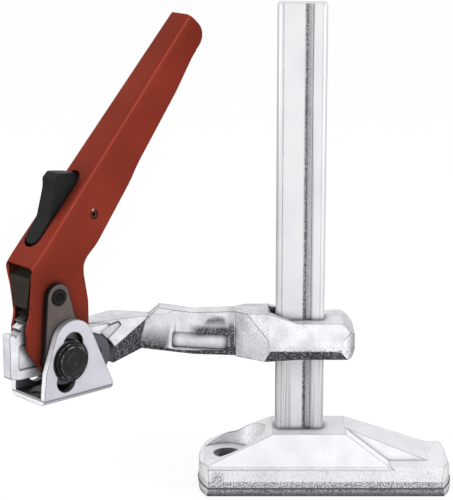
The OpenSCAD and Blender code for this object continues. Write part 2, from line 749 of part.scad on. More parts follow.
// The trigger: a moulded cap that comes out through the web's slot
module trigger_button() color([0.15, 0.16, 0.16]) at_head() {
    low = slot_low + 1.8;
    high = slot_high - 2.4;
    half = slot_w / 2 - trigger_gap;
    intersection() {
        translate([0, slot_shift, 0]) along_y(-half, half) polygon(rounded([
            out(low - 1, -pawl_top, 0), out(low - 1, 0.6, 0.5), out(28.4, 1.9, 8), out(43.2, 9.4, 12),
            out(46.6, trigger_h, 1.6), out(51.2, trigger_h - 0.3, 2), out(high + 0.4, 1.8, 1),
            out(high + 0.4, -pawl_top, 0)]));
        web_stadium(low, high, 2 * half);
    }
}

module journal_solid() {
    shank_in = -inner_head_out;
    body_out = -cheek_out + 0.3;
    ring_out = -cheek_out - 1.4;
    across(journal, journal_shank_d, -plate_out - 0.1, shank_in);
    across(journal, journal_shank_d + 3, shank_in, -inner_head_in);
    across(journal, journal_d, body_out, -plate_out - 0.1);
    across(journal, (journal_d + journal_cap_d) / 2, ring_out, body_out);
    across(journal, journal_cap_d, -journal_out, ring_out);
}

module journal_near() color([0.17, 0.17, 0.18]) at_head() near_side() journal_solid();

module journal_far() color([0.17, 0.17, 0.18]) at_head() far_side() journal_solid();

// Flat outline of the bracket's cheeks
module cheek_outline() {
    crown = [2.5, journal_z + 9.5];
    floor_z = journal_z - bracket_drop;
    translate(crown) circle(r = bracket_top_r);
    polygon([[-bracket_front, floor_z], [bracket_rear, floor_z], [bracket_rear, floor_z + 4.6],
        crown + bracket_top_r * [cos(25), sin(25)], crown + bracket_top_r * [cos(157), sin(157)],
        [-bracket_front + 1.4, floor_z + 18], [-bracket_front, floor_z + 6]]);
}

// Section across the bracket: a U with rounded bends
module bracket_section() {
    top = journal_z + 40;
    floor_z = journal_z - bracket_drop;
    inner_r = bracket_bend_r - bracket_t;
    difference() {
        polygon(rounded([[-cheek_out, floor_z, bracket_bend_r], [cheek_out, floor_z, bracket_bend_r],
            [cheek_out, top, 0], [-cheek_out, top, 0]]));
        polygon(rounded([[-cheek_in, floor_z + bracket_t, inner_r], [cheek_in, floor_z + bracket_t, inner_r],
            [cheek_in, top + 1, 0], [-cheek_in, top + 1, 0]]));
    }
}

module pressure_bracket() color("silver") at_head() {
    hole_d = journal_d + 2 * bracket_gap;
    upper_lobe = [1.9, journal_z + 9.2];
    upper_lobe_d = 13.2;
    lower_lobe = [-3.4, journal_z - 10.8];
    lower_lobe_d = 12.4;
    difference() {
        intersection() {
            along_x(-far, far) bracket_section();
            along_y(-far, far) cheek_outline();
        }
        across(journal, hole_d, -far, far);
        across(upper_lobe, upper_lobe_d, -far, far);
        across(lower_lobe, lower_lobe_d, -far, far);
        translate([-bracket_hole_reach, 0, 0]) cylinder(h = journal_z - cheek_in, d = bracket_hole_d);
    }
}

base_plate();
rail();
sliding_arm();
pivot_pin();
pivot_washer_near();
pivot_washer_far();
lever_handle();
side_plate_near();
side_plate_far();
plate_rivet_near();
plate_rivet_far();
pawl_pin();
pawl_spring();
pawl();
trigger_button();
journal_near();
journal_far();
pressure_bracket();
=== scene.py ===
import math

import bmesh
import bpy
import numpy as np
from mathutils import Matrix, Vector


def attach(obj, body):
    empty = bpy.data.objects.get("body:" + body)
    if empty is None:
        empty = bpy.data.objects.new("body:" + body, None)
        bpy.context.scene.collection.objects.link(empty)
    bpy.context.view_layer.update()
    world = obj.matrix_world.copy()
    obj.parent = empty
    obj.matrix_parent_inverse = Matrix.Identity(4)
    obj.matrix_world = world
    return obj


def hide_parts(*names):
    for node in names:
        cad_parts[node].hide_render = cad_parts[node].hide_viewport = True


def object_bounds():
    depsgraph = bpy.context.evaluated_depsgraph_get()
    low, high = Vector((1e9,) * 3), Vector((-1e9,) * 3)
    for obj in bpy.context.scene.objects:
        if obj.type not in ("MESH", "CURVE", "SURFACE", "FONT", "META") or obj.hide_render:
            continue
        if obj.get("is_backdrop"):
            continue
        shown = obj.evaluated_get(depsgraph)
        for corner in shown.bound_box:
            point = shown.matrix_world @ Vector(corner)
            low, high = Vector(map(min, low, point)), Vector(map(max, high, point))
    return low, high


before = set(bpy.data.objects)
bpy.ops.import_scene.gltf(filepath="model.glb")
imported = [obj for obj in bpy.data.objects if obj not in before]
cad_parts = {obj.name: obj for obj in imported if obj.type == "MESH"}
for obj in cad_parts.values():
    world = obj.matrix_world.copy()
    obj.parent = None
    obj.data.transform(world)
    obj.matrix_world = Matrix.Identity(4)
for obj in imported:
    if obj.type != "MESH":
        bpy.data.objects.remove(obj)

cad_low, cad_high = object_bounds()

# Base plate: one heavy iron casting from a two-part sand mould, zinc plated, with a
# machined underside, a sunken seat for the table bolt and small rounded cast edges.
mm = 0.001


def linear(code):
    """sRGB hex to linear: c / 12.92 up to 0.04045, and ((c + 0.055) / 1.055) ^ 2.4 above."""
    parts = [int(code[i:i + 2], 16) / 255 for i in (0, 2, 4)]
    return [c / 12.92 if c <= 0.04045 else ((c + 0.055) / 1.055) ** 2.4 for c in parts] + [1.0]


def put(tree, kind, inputs=(), out=None, **settings):
    """Adds one node: its settings, then a link or a value for each input. Gives the output
    called out, else the first in use. MapRange takes the value, from low, from high, to
    low and to high as 0 to 4; a Mix of colours takes the share as 0, the colours as 6, 7."""
    node = tree.nodes.new("ShaderNode" + kind)
    for name, value in settings.items():
        setattr(node, name, value)
    for key, value in dict(inputs).items():
        if isinstance(value, bpy.types.NodeSocket):
            tree.links.new(value, node.inputs[key])
        else:
            node.inputs[key].default_value = value
    return node.outputs[out] if out else next((s for s in node.outputs if s.enabled), None)


def surface(name):
    """An empty material, its node tree and its Object coordinates."""
    material = bpy.data.materials.new(name)
    material.use_nodes = True
    tree = material.node_tree
    tree.nodes.clear()
    return material, tree, put(tree, "TexCoord", out="Object")


def between(tree, value, low, high, soft, strength=1.0):
    """A zone: strength where value lies from low to high mm, falling to 0 over soft mm on
    both sides, as a rising ramp times a falling one."""
    rise = put(tree, "MapRange", {0: value, 1: (low - soft) * mm, 2: low * mm, 3: 0.0, 4: 1.0})
    fall = put(tree, "MapRange", {0: value, 1: high * mm, 2: (high + soft) * mm, 3: strength,
                                  4: 0.0})
    return put(tree, "Math", {0: rise, 1: fall}, operation="MULTIPLY")


def union(tree, *zones):
    """The strongest of several zones at each point."""
    most = zones[0]
    for zone in zones[1:]:
        most = put(tree, "Math", {0: most, 1: zone}, operation="MAXIMUM")
    return most


def overlap(tree, *zones):
    """The product of several zones, so only where all of them hold."""
    both = zones[0]
    for zone in zones[1:]:
        both = put(tree, "Math", {0: both, 1: zone}, operation="MULTIPLY")
    return both


def facing_down(tree, start, full, strength=1.0):
    """A zone on surfaces that face down: 0 where the normal's Z part is start, growing to
    strength where it is full."""
    upward = put(tree, "SeparateXYZ", {0: put(tree, "TexCoord", out="Normal")}, out="Z")
    return put(tree, "MapRange", {0: upward, 1: start, 2: full, 3: 0.0, 4: strength})


def edge_shade_lines(tree, reach, strength):
    """A zone of painted shade along edges, for dark edge lines: the normal rounded over reach
    is set against the surface's own, and the zone grows from 0 to strength as their cosine
    falls from 0.998 to 0.97."""
    eased = put(tree, "Bevel", {"Radius": reach}, samples=4)
    own = put(tree, "VectorTransform", {0: put(tree, "TexCoord", out="Normal")},
              vector_type="NORMAL", convert_from="OBJECT", convert_to="WORLD")
    match = put(tree, "VectorMath", {0: eased, 1: own}, operation="DOT_PRODUCT")
    return put(tree, "MapRange", {0: match, 1: 0.998, 2: 0.97, 3: 0.0, 4: strength})


def tinted(tree, colour, zone, code):
    """The colour, moved towards an sRGB code by the zone's share."""
    return put(tree, "Mix", {0: zone, 6: colour, 7: linear(code)}, data_type="RGBA")


def shaded_in_corners(tree, colour, reach, dark, floor=0.35):
    """The colour, moved towards dark in corners as painted shade: by 0 where 0.95 of the air
    within reach is open, and fully where only floor of it is."""
    open_air = put(tree, "AmbientOcclusion", {"Distance": reach}, out="AO", samples=8)
    shut_in = put(tree, "MapRange", {0: open_air, 1: floor, 2: 0.95, 3: 1.0, 4: 0.0})
    return tinted(tree, colour, shut_in, dark)


def placed(name, data):
    """A new object in the scene, at the origin."""
    piece = bpy.data.objects.new(name, data)
    bpy.context.scene.collection.objects.link(piece)
    return piece


def softened(node, body, material, width, segments=2):
    """A merged copy of a solid, whose edges sharper than 28 degrees get a bevel of width."""
    crease = math.radians(28)
    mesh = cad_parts[node].data.copy()
    shape = bmesh.new()
    shape.from_mesh(mesh)
    bmesh.ops.remove_doubles(shape, verts=shape.verts, dist=2e-6)
    bmesh.ops.dissolve_limit(shape, angle_limit=math.radians(0.6), verts=shape.verts,
                             edges=shape.edges)
    shape.to_mesh(mesh)
    shape.free()
    mesh.materials.clear()
    mesh.materials.append(material)
    piece = placed(node + "_finished", mesh)
    bevel = piece.modifiers.new("edge_radius", "BEVEL")
    bevel.width = width
    bevel.segments = segments
    bevel.limit_method = "ANGLE"
    bevel.angle_limit = crease
    bevel.harden_normals = False
    mesh.polygons.foreach_set("use_smooth", [True] * len(mesh.polygons))
    mesh.set_sharp_from_angle(angle=crease)
    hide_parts(node)
    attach(piece, body)


# Zinc on sand cast iron is a satin grey white that pools into patches of about 14 mm,
# and each pit of the sand looks darker. Moulding sand is 0.2 to 0.5 mm, too fine to show
# here, so its grain is drawn at 0.8 and 1.2 mm.
cast_zinc, tree, place = surface("zinc_plated_sand_casting")
normal = put(tree, "TexCoord", out="Normal")
x, _, z = put(tree, "SeparateXYZ", {0: place}).node.outputs
grain = put(tree, "TexNoise", {"Vector": place, "Scale": 1 / (1.2 * mm), "Detail": 4.0,
                               "Roughness": 0.65})
sand = put(tree, "TexNoise", {"Vector": place, "Scale": 1 / (0.8 * mm), "Detail": 2.0,
                              "Roughness": 0.7})
patch = put(tree, "TexNoise", {"Vector": place, "Scale": 1 / (14 * mm), "Detail": 2.0})
pooled = put(tree, "MapRange", {0: patch, 1: 0.35, 2: 0.7, 3: 0.0, 4: 1.0})
zinc = put(tree, "Mix", {0: pooled, 6: linear("E2E2E5"), 7: linear("D6D6DC")}, data_type="RGBA")
pit = put(tree, "MapRange", {0: grain, 1: 0.52, 2: 0.72, 3: 0.0, 4: 0.55})
dressed = put(tree, "MapRange", {0: z, 1: 15 * mm, 2: 19 * mm, 3: 1.0, 4: 0.2})
zinc = tinted(tree, zinc, overlap(tree, pit, dressed), "8C8B95")
# The flange was cast in the lower box, so it is the roughest. The rim over it is rough
# in its lower part, less so nearly up to its top, and rougher again at its left corner.
# These are the tops of the three zones.
flange_zone, low_zone, high_zone = 4.4, 8.6, 16.5
coarse = put(tree, "MapRange", {0: sand, 1: 0.42, 2: 0.56, 3: 0.1, 4: 1.0})
corner = overlap(tree, between(tree, x, -48.0, -44.0, 2.5, 0.8), between(tree, z, -1.0, 12.0, 4.0))
rough = union(tree, between(tree, z, -1.0, flange_zone, 0.2, 0.95),
              between(tree, z, flange_zone, low_zone, 0.4, 0.85),
              between(tree, z, low_zone, high_zone, 0.8, 0.14), corner)
rough = overlap(tree, rough, coarse)
# The boxes' joint is a line at 4.5 to 5 mm that wavers by 0.8 mm to both sides.
waver = put(tree, "Math", {0: sand, 1: 1.6 * mm, 2: -0.8 * mm}, operation="MULTIPLY_ADD")
joint = put(tree, "Math", {0: z, 1: waver}, operation="ADD")
joint_line = between(tree, joint, 4.5, 5.0, 0.2, 0.95)
# The bolt hole is darkened inside and just round its edge as painted shade. From 15 mm up,
# what looks towards its axis is greyed as painted shade, broken by the sand grain: the wall
# round its seat, and the top of the hole.
bolt_x, bolt_y, dark_r, seat_shade_z = -40.6, 1.5, 7.9, 15.0
from_bolt = put(tree, "Mapping", {"Vector": place, "Scale": (1.0, 1.0, 0.0),
                                  "Location": (-bolt_x * mm, -bolt_y * mm, 0.0)})
bolt_way = put(tree, "VectorMath", {0: from_bolt}, operation="NORMALIZE")
bolt_way = put(tree, "VectorMath", {0: bolt_way, 1: normal}, operation="DOT_PRODUCT")
seat_wall_shade = put(tree, "MapRange", {0: bolt_way, 1: -0.9, 2: -0.82, 3: 1.0, 4: 0.0})
seat_grain = put(tree, "MapRange", {0: sand, 1: 0.42, 2: 0.6, 3: 0.22, 4: 0.55})
above = put(tree, "MapRange", {0: z, 1: seat_shade_z * mm, 2: (seat_shade_z + 0.5) * mm, 3: 0.0, 4: 1.0})
seat_wall_shade = overlap(tree, seat_wall_shade, seat_grain, above)
from_bolt = put(tree, "VectorMath", {0: from_bolt}, operation="LENGTH")
bore_shade = put(tree, "MapRange", {0: from_bolt, 1: dark_r * mm, 2: (dark_r + 0.2) * mm, 3: 0.85,
                              4: 0.0})
# The dirt is the rough grain and the boxes' joint; painted shade is added in the bolt hole and on
# faces that look down.
dirt_and_shade = union(tree, rough, joint_line, bore_shade, facing_down(tree, -0.05, -0.22, 0.5))
# Both ends are lightened as painted light: whiter, and with less of the dirt and painted shade.
end_on = put(tree, "Math", {0: put(tree, "SeparateXYZ", {0: normal}, out="X")},
             operation="ABSOLUTE")
painted_light = put(tree, "MapRange", {0: end_on, 1: 0.35, 2: 0.75, 3: 0.0, 4: 0.9})
less_at_lit_ends = put(tree, "MapRange", {0: end_on, 1: 0.5, 2: 0.8, 3: 1.0, 4: 0.6})
zinc = tinted(tree, zinc, painted_light, "FFFFFF")
zinc = tinted(tree, zinc, overlap(tree, dirt_and_shade, less_at_lit_ends), "3A3941")
zinc = tinted(tree, zinc, seat_wall_shade, "7C7B85")
# Dark lines of painted shade run along the edges, and painted shade darkens the corners.
zinc = tinted(tree, zinc, edge_shade_lines(tree, 0.9 * mm, 0.75), "5E5D66")
zinc = shaded_in_corners(tree, zinc, 4 * mm, "3A3940")
gloss = put(tree, "MapRange", {0: grain, 1: 0.3, 2: 0.7, 3: 0.34, 4: 0.55})
relief = put(tree, "Bump", {"Strength": 0.35, "Distance": 0.3 * mm, "Height": grain})
metal = put(tree, "BsdfPrincipled", {"Base Color": zinc, "Metallic": 0.35, "Roughness": gloss,
                                     "Normal": relief})
put(tree, "OutputMaterial", {"Surface": metal})
softened("base_plate", "base", cast_zinc, 0.9 * mm, 3)

# Rail: cold drawn flat steel bar, zinc plated, pressed into the base, with rounded
# corners and a groove down its front. Drawing leaves lines along it, real ones of about
# 0.1 mm, drawn 0.9 mm apart and 50 times as long so that they show.
drawn_zinc, tree, place = surface("zinc_plated_drawn_bar")
x, y, z = put(tree, "SeparateXYZ", {0: place}).node.outputs
stretched = put(tree, "Mapping", {"Vector": place, "Scale": (1.0, 1.0, 0.02)})
line = put(tree, "TexNoise", {"Vector": stretched, "Scale": 1 / (0.9 * mm), "Detail": 3.0})
cloud = put(tree, "TexNoise", {"Vector": place, "Scale": 1 / (20 * mm), "Detail": 2.0})
clouded = put(tree, "MapRange", {0: cloud, 1: 0.3, 2: 0.7, 3: 0.0, 4: 1.0})
zinc = put(tree, "Mix", {0: clouded, 6: linear("D3D3D5"), 7: linear("CBCBCF")}, data_type="RGBA")
# Painted shade lies in the groove and on its left edge, 1.6 to 5.9 mm right of the middle,
# and thin lines of it stand along both corners: only in front, in streaks and dots.
painted_rail_shade = union(tree, between(tree, x, 1.8, 3.0, 0.8, 1.0), between(tree, x, 1.6, 4.6, 0.8, 0.5),
               between(tree, x, 5.6, 5.9, 0.3, 0.65), between(tree, x, -10.5, -10.2, 0.3, 0.6),
               between(tree, x, 10.8, 11.1, 0.3, 0.35))
front = put(tree, "MapRange", {0: y, 1: -4.5 * mm, 2: -3.5 * mm, 3: 1.0, 4: 0.0})
thinner = put(tree, "MapRange", {0: z, 1: 20 * mm, 2: 160 * mm, 3: 1.0, 4: 0.95})
streak = put(tree, "MapRange", {0: line, 1: 0.35, 2: 0.65, 3: 0.75, 4: 1.15})
dots = put(tree, "TexNoise", {"Vector": place, "Scale": 1 / (0.9 * mm), "Detail": 2.0,
                              "Roughness": 0.7})
dots = put(tree, "MapRange", {0: dots, 1: 0.42, 2: 0.58, 3: 0.62, 4: 1.1})
painted_rail_shade = overlap(tree, painted_rail_shade, front, thinner, streak, dots)
# Painted shade lies on it below the arm, up to 80 mm, but for a strip that is left light.
under_arm_shade = put(tree, "MapRange", {0: z, 1: 55 * mm, 2: 80 * mm, 3: 0.45, 4: 0.0})
blotch = put(tree, "MapRange", {0: line, 1: 0.45, 2: 0.62, 3: 0.25, 4: 1.0})
lit_strip = between(tree, x, -4.2, 0.8, 1.2, 0.85)
shaded_sides = put(tree, "Math", {0: 1.0, 1: lit_strip}, operation="SUBTRACT")
painted_rail_shade = union(tree, painted_rail_shade, overlap(tree, under_arm_shade, blotch, shaded_sides))
# Painted shade darkens it where it closes in.
zinc = shaded_in_corners(tree, tinted(tree, zinc, painted_rail_shade, "201F26"), 3 * mm, "55545C")
gloss = put(tree, "MapRange", {0: line, 1: 0.3, 2: 0.7, 3: 0.3, 4: 0.42})
relief = put(tree, "Bump", {"Strength": 0.12, "Distance": 0.2 * mm, "Height": line})
metal = put(tree, "BsdfPrincipled", {"Base Color": zinc, "Metallic": 0.2, "Roughness": gloss,
                                     "Normal": relief})
put(tree, "OutputMaterial", {"Surface": metal})
softened("rail", "base", drawn_zinc, 0.5 * mm)

# Sliding arm: a drop forging, shot blasted and zinc plated, machined only in its eye and
# on its ratchet teeth. Its skin waves over about 9 mm and carries dark pits of shot,
# 0.3 mm in life, drawn at 1 mm so that they show.
forged_zinc, tree, place = surface("zinc_plated_drop_forging")
x, y, z = put(tree, "SeparateXYZ", {0: place}).node.outputs
grain = put(tree, "TexNoise", {"Vector": place, "Scale": 1 / (1.0 * mm), "Detail": 4.0,
                               "Roughness": 0.7})
sand = put(tree, "TexNoise", {"Vector": place, "Scale": 1 / (0.8 * mm), "Detail": 2.0,
                              "Roughness": 0.7})
wave = put(tree, "TexNoise", {"Vector": place, "Scale": 1 / (9 * mm), "Detail": 2.0})
waved = put(tree, "MapRange", {0: wave, 1: 0.35, 2: 0.65, 3: 0.0, 4: 1.0})
zinc = put(tree, "Mix", {0: waved, 6: linear("E6E6EA"), 7: linear("CFCFD6")}, data_type="RGBA")
pit = put(tree, "MapRange", {0: grain, 1: 0.55, 2: 0.7, 3: 0.0, 4: 0.5})
zinc = tinted(tree, zinc, pit, "83828C")
# Painted shade lies on under faces, in the hollow of the web over its panel and at the step
# where the web meets the block, all of it broken by the shot's speckle.
speckle = put(tree, "MapRange", {0: grain, 1: 0.5, 2: 0.66, 3: 1.0, 4: 0.45})
sunk = put(tree, "MapRange", {0: y, 1: -6.6 * mm, 2: -6.2 * mm, 3: 0.0, 4: 1.0})
hollow = overlap(tree, between(tree, x, -57.0, -39.0, 6.0, 0.95),
                 between(tree, z, 89.5, 93.0, 3.0), sunk)
step_start = put(tree, "MapRange", {0: x, 1: -41.5 * mm, 2: -39.0 * mm, 3: 0.0, 4: 0.95})
step_end = put(tree, "MapRange", {0: x, 1: -37.0 * mm, 2: -36.6 * mm, 3: 1.0, 4: 0.0})
step_top = put(tree, "MapRange", {0: z, 1: 94 * mm, 2: 98 * mm, 3: 1.0, 4: 0.3})
step = overlap(tree, step_start, step_end, step_top)
painted_arm_shade = overlap(tree, union(tree, facing_down(tree, -0.05, -0.17), hollow, step), speckle)
# The block round the rail was blasted harder than the arm: grey grain on its cheek. Its lower
# chamfer, nearly to the chamfer's top, is darkened in grain to near black as painted shade.
black_top, dark_teeth_from = 84.6, 111.2
cheek_grain = put(tree, "MapRange", {0: sand, 1: 0.44, 2: 0.58, 3: 0.0, 4: 1.0})
cheek = overlap(tree, between(tree, x, -36.6, -18.0, 1.5, 0.3), cheek_grain)
chamfer_grain = put(tree, "MapRange", {0: sand, 1: 0.5, 2: 0.6, 3: 0.0, 4: 1.0})
chamfer_shade = overlap(tree, between(tree, x, -17.0, 30.0, 2.0, 0.85),
                  between(tree, z, 70.0, black_top, 4.0), chamfer_grain)
zinc = tinted(tree, zinc, union(tree, cheek, chamfer_shade), "55545C")
zinc = tinted(tree, zinc, painted_arm_shade, "26252B")
# The upper teeth of the ratchet, which the pawl slides on, are oily and darkened to black as
# painted shade inside the lever's mouth.
teeth_oil_and_shade = overlap(tree, between(tree, z, dark_teeth_from, 130.0, 0.8, 0.97),
               between(tree, x, -200.0, -130.0, 2.0))
zinc = tinted(tree, zinc, teeth_oil_and_shade, "16130F")
# Dark lines of painted shade run along the edges, and painted shade darkens the corners.
zinc = tinted(tree, zinc, edge_shade_lines(tree, 0.9 * mm, 0.9), "26252B")
zinc = shaded_in_corners(tree, zinc, 4 * mm, "2E2D33")
gloss = put(tree, "MapRange", {0: grain, 1: 0.3, 2: 0.7, 3: 0.3, 4: 0.5})
height = put(tree, "Math", {0: wave, 1: grain}, operation="ADD")
relief = put(tree, "Bump", {"Strength": 0.3, "Distance": 0.4 * mm, "Height": height})
metal = put(tree, "BsdfPrincipled", {"Base Color": zinc, "Metallic": 0.55, "Roughness": gloss,
                                     "Normal": relief})
put(tree, "OutputMaterial", {"Surface": metal})
softened("sliding_arm", "arm", forged_zinc, 0.7 * mm, 3)

# Pivot pin and its two spacing washers: hardened steel, blackened in hot salts, the pin
# riveted over in the side plates. The black is uneven over a few millimetres.
black_steel, tree, place = surface("blackened_steel")
smut = put(tree, "TexNoise", {"Vector": place, "Scale": 1 / (1.5 * mm), "Detail": 4.0,
                              "Roughness": 0.6})
uneven = put(tree, "MapRange", {0: smut, 1: 0.35, 2: 0.7, 3: 0.0, 4: 1.0})
black = put(tree, "Mix", {0: uneven, 6: linear("1C1B1C"), 7: linear("2F2D2E")}, data_type="RGBA")
gloss = put(tree, "MapRange", {0: smut, 1: 0.3, 2: 0.7, 3: 0.32, 4: 0.5})
relief = put(tree, "Bump", {"Strength": 0.15, "Distance": 0.1 * mm, "Height": smut})
metal = put(tree, "BsdfPrincipled", {"Base Color": black, "Metallic": 0.6, "Roughness": gloss,
                                     "Normal": relief})
put(tree, "OutputMaterial", {"Surface": metal})
softened("pivot_pin", "lever", black_steel, 0.4 * mm)
for node in ("pivot_washer_near", "pivot_washer_far"):
    softened(node, "lever", black_steel, 0.2 * mm)

# Lever handle: one blank of 2 mm sheet steel, pressed to a channel and powder coated.
# Its walls swell from the narrow head to the full width of the web, and their rims are
# curled in along the grip.
# The way across the clamp's head to its near side, and the way along it to its back.
near_way = (0.669, -0.743, 0.0)
head_way = (0.743, 0.669, 0.0)


def head(x, y, z):
    """A point of the clamp's head, in mm along it, across it and up, in the frame's metres:
    turned by 42 degrees about the upright through (50, 0), which lies at (-98, 0)."""
    turn = math.radians(42.0)
    x, y, z = np.broadcast_arrays(x, y, z)
    return np.stack([-98 + math.cos(turn) * (x - 50) - math.sin(turn) * y,
                     math.sin(turn) * (x - 50) + math.cos(turn) * y, z], -1) * mm


def smooth(value, low, high):
    """0 below low, 1 above high, and 3 t^2 - 2 t^3 between, t being the share of the way."""
    t = np.clip((np.asarray(value, float) - low) / (high - low), 0.0, 1.0)
    return t * t * (3 - 2 * t)


def rounded(corners):
    """A line through corners (x, z, radius), each turned into an arc of its radius: the
    arc's middle lies on the corner's bisector, at radius / sin(half the corner's angle)."""
    line = [np.array(corners[0][:2], float)]
    for before, at, after in zip(corners, corners[1:], corners[2:]):
        point, radius = np.array(at[:2], float), at[2]
        one = np.array(before[:2], float) - point
        two = np.array(after[:2], float) - point
        one, two = one / np.linalg.norm(one), two / np.linalg.norm(two)
        half = math.acos(np.clip(one @ two, -1, 1)) / 2
        middle = point + (one + two) / np.linalg.norm(one + two) * radius / math.sin(half)
        first = point + one * radius / math.tan(half) - middle
        last = point + two * radius / math.tan(half) - middle
        t = np.linspace(0, 1, 9)[:, None]
        arm = first * (1 - t) + last * t
        line.append(middle + arm / np.linalg.norm(arm, axis=1)[:, None] * radius)
    return np.vstack([*line, corners[-1][:2]])


def along(line, count):
    """count points on a line, evenly spaced by its length."""
    step = np.concatenate([[0], np.cumsum(np.linalg.norm(np.diff(line, axis=0), axis=1))])
    place = np.linspace(0, step[-1], count)
    return np.stack([np.interp(place, step, line[:, k]) for k in (0, 1)], -1)


def cells(rows, columns, closed=False):
    """Corner numbers of a grid's cells, its points numbered row by row: cell (i, j) has the
    points (i, j), (i, j + 1), (i + 1, j + 1), (i + 1, j); closed joins the last column
    to the first."""
    i, j = np.mgrid[0:rows - 1, 0:columns if closed else columns - 1]
    k = (j + 1) % columns
    return np.stack([i * columns + j, i * columns + k, (i + 1) * columns + k,
                     (i + 1) * columns + j], -1)


def meshed(name, points, faces):
    """A mesh of the points (x, y, z) and the faces' corner numbers."""
    mesh = bpy.data.meshes.new(name)
    mesh.from_pydata(np.reshape(points, (-1, 3)).tolist(), [], faces)
    return mesh


# The web's outer face runs up at 47.4 degrees from its root, where the channel bends.
lean = math.radians(47.4)
root = np.array([-22.0, 142.0])
run = np.array([math.cos(lean), math.sin(lean)])
into = np.array([math.sin(lean), -math.cos(lean)])


def station(s, d):
    """The point (x, z) at s mm up the web's face and d mm into the channel:
    root + s run + d into."""
    return root + np.multiply.outer(s, run) + np.multiply.outer(d, into)


def half_width(x, z):
    """The channel's half width: 7.4 mm at the plates, 13 at the web's root and 9 at its top,
    plus a flare in front: base(z) + (front(z) - base(z)) smooth(how far forward)."""
    taper = 13.0 - 4.0 * (z - 147.0) / 118.7
    base = 7.4 + (taper - 7.4) * smooth(z, 130.5, 151.0)
    front = np.interp(z, [110, 121, 129, 134, 139, 146], [7.4, 8.9, 10.4, 11.5, 12.2, 13.0])
    front = np.maximum(front, base)
    return np.where(z < 147, base + (front - base) * smooth(-x, 9.0, 20.0), base)


# The wall's front and back rims, seen from the side: a low part from the chin to the
# web's root, and a high part from there to the grip's round end.
grip_end = 168
front_low = along(rounded([(-12.6, 82.4, 0), (-17.6, 87.6, 5), (-22.6, 95, 5), (-22.8, 107, 6),
                           (-20.6, 114, 6), (-20.8, 130, 12), (-22.0, 142.0, 0)]), 46)
back_low = along(rounded([(-12.6, 82.4, 0), (-6, 75.5, 5), (10, 77, 5), (10, 92, 4),
                          (18.5, 97, 2), (18.5, 104.8, 0)]), 46)
front_high = along(np.array([station(0, 0), station(grip_end, 0)]), 71)
top, knee, bend = station(grip_end, 15), station(130, 20.3), station(23.3, 27.9)
back_high = along(rounded([(18.5, 104.8, 0), (18.5, 116, 12), (*bend, 10), (*knee, 30),
                           (*top, 8), (*station(grip_end, 6), 0)]), 71)
front_line = np.concatenate([front_low[2:], front_high[1:]])
back_line = np.concatenate([back_low[2:], back_high[1:]])
rows = len(front_line)
web_from = len(front_low) - 3

# Each row of a wall runs from its front rim over the fold (radius 3.6 mm) to its back
# rim, and where the grip is curled on round a lip of 2 mm and 2.6 mm inwards.
fold_r, lip_r, lip_in = 3.6, 2.0, 2.6
fold_angles = np.radians([6, 18, 30, 42, 54, 66, 78, 90])
curl = np.radians([22, 45, 67, 90, 90])
way = back_line - front_line
length = np.maximum(np.linalg.norm(way, axis=1), 0.02)
way = way / length[:, None]
up_web = (back_line - root) @ run
lip = smooth(up_web, 70, 86) * (1 - smooth(up_web, 150, 160)) * (np.arange(rows) > web_from)
length = length - lip_r * lip
in_fold = np.minimum(fold_r * (1 - np.cos(fold_angles)), 0.35 * length[:, None])
past_fold = np.linspace(in_fold[:, -1], length, 13, axis=1)[:, 1:]
steps = np.concatenate([np.zeros((rows, 1)), in_fold, past_fold], axis=1)
flat = front_line[:, None] + steps[..., None] * way[:, None]
shut = np.clip(fold_r - (flat - root) @ into, 0, fold_r)
across = half_width(flat[..., 0], flat[..., 1]) - (fold_r - np.sqrt(fold_r ** 2 - shut ** 2))
tail = flat[:, -1:] + (lip[:, None] * lip_r * np.sin(curl))[..., None] * way[:, None]
inward = lip_r * (1 - np.cos(curl)) + np.array([0, 0, 0, 0, lip_in])
tail_across = across[:, -1:] - lip[:, None] * inward
flat = np.concatenate([flat, tail], axis=1)
across = np.concatenate([across, tail_across], axis=1)
near_wall, far_wall = (head(flat[..., 0], side * across, flat[..., 1]) for side in (-1, 1))

# The lip's cells stay only where it is curled by more than a tenth. The web joins the
# two front rims in seven strips.
columns, web_columns = across.shape[1], 7
curled = np.minimum(lip[:-1], lip[1:]) > 0.1
kept = (np.arange(columns - 1) < steps.shape[1] - 1) | curled[:, None]
wall_cells = cells(rows, columns)[kept]
share = np.arange(1, web_columns)[:, None] / web_columns
near_rim, far_rim = near_wall[web_from:, 0], far_wall[web_from:, 0]
web = near_rim[:, None] + (far_rim - near_rim)[:, None] * share
rim_number = np.arange(web_from, rows)[:, None] * columns
web_number = 2 * rows * columns + np.arange(web.shape[0] * web.shape[1]).reshape(web.shape[:2])
web_table = np.hstack([rim_number, web_number, rows * columns + rim_number])
web_cells = web_table.ravel()[cells(*web_table.shape)][..., [1, 0, 3, 2]].reshape(-1, 4)
shell_points = np.concatenate([part.reshape(-1, 3) for part in (near_wall, far_wall, web)])
shell_faces = np.concatenate([wall_cells, wall_cells[:, ::-1] + rows * columns, web_cells])
shell_mesh = meshed("lever_shell", shell_points, shell_faces.tolist())
shell = placed("lever_shell", shell_mesh)
shape = bmesh.new()
shape.from_mesh(shell_mesh)
bmesh.ops.remove_doubles(shape, verts=shape.verts, dist=2e-5)
bmesh.ops.recalc_face_normals(shape, faces=shape.faces)
outer = max(shape.faces, key=lambda face: face.calc_center_median() @ Vector(near_way))
if outer.normal @ Vector(near_way) < 0:
    bmesh.ops.reverse_faces(shape, faces=shape.faces)
shape.to_mesh(shell_mesh)
shape.free()
gauge = shell.modifiers.new("sheet_gauge", "SOLIDIFY")
gauge.thickness = 2 * mm
gauge.offset = -1.0
rim = shell.modifiers.new("pressed_rim", "BEVEL")
rim.width = 0.7 * mm
rim.segments = 3
rim.limit_method = "ANGLE"
rim.angle_limit = math.radians(50)
rim.harden_normals = False


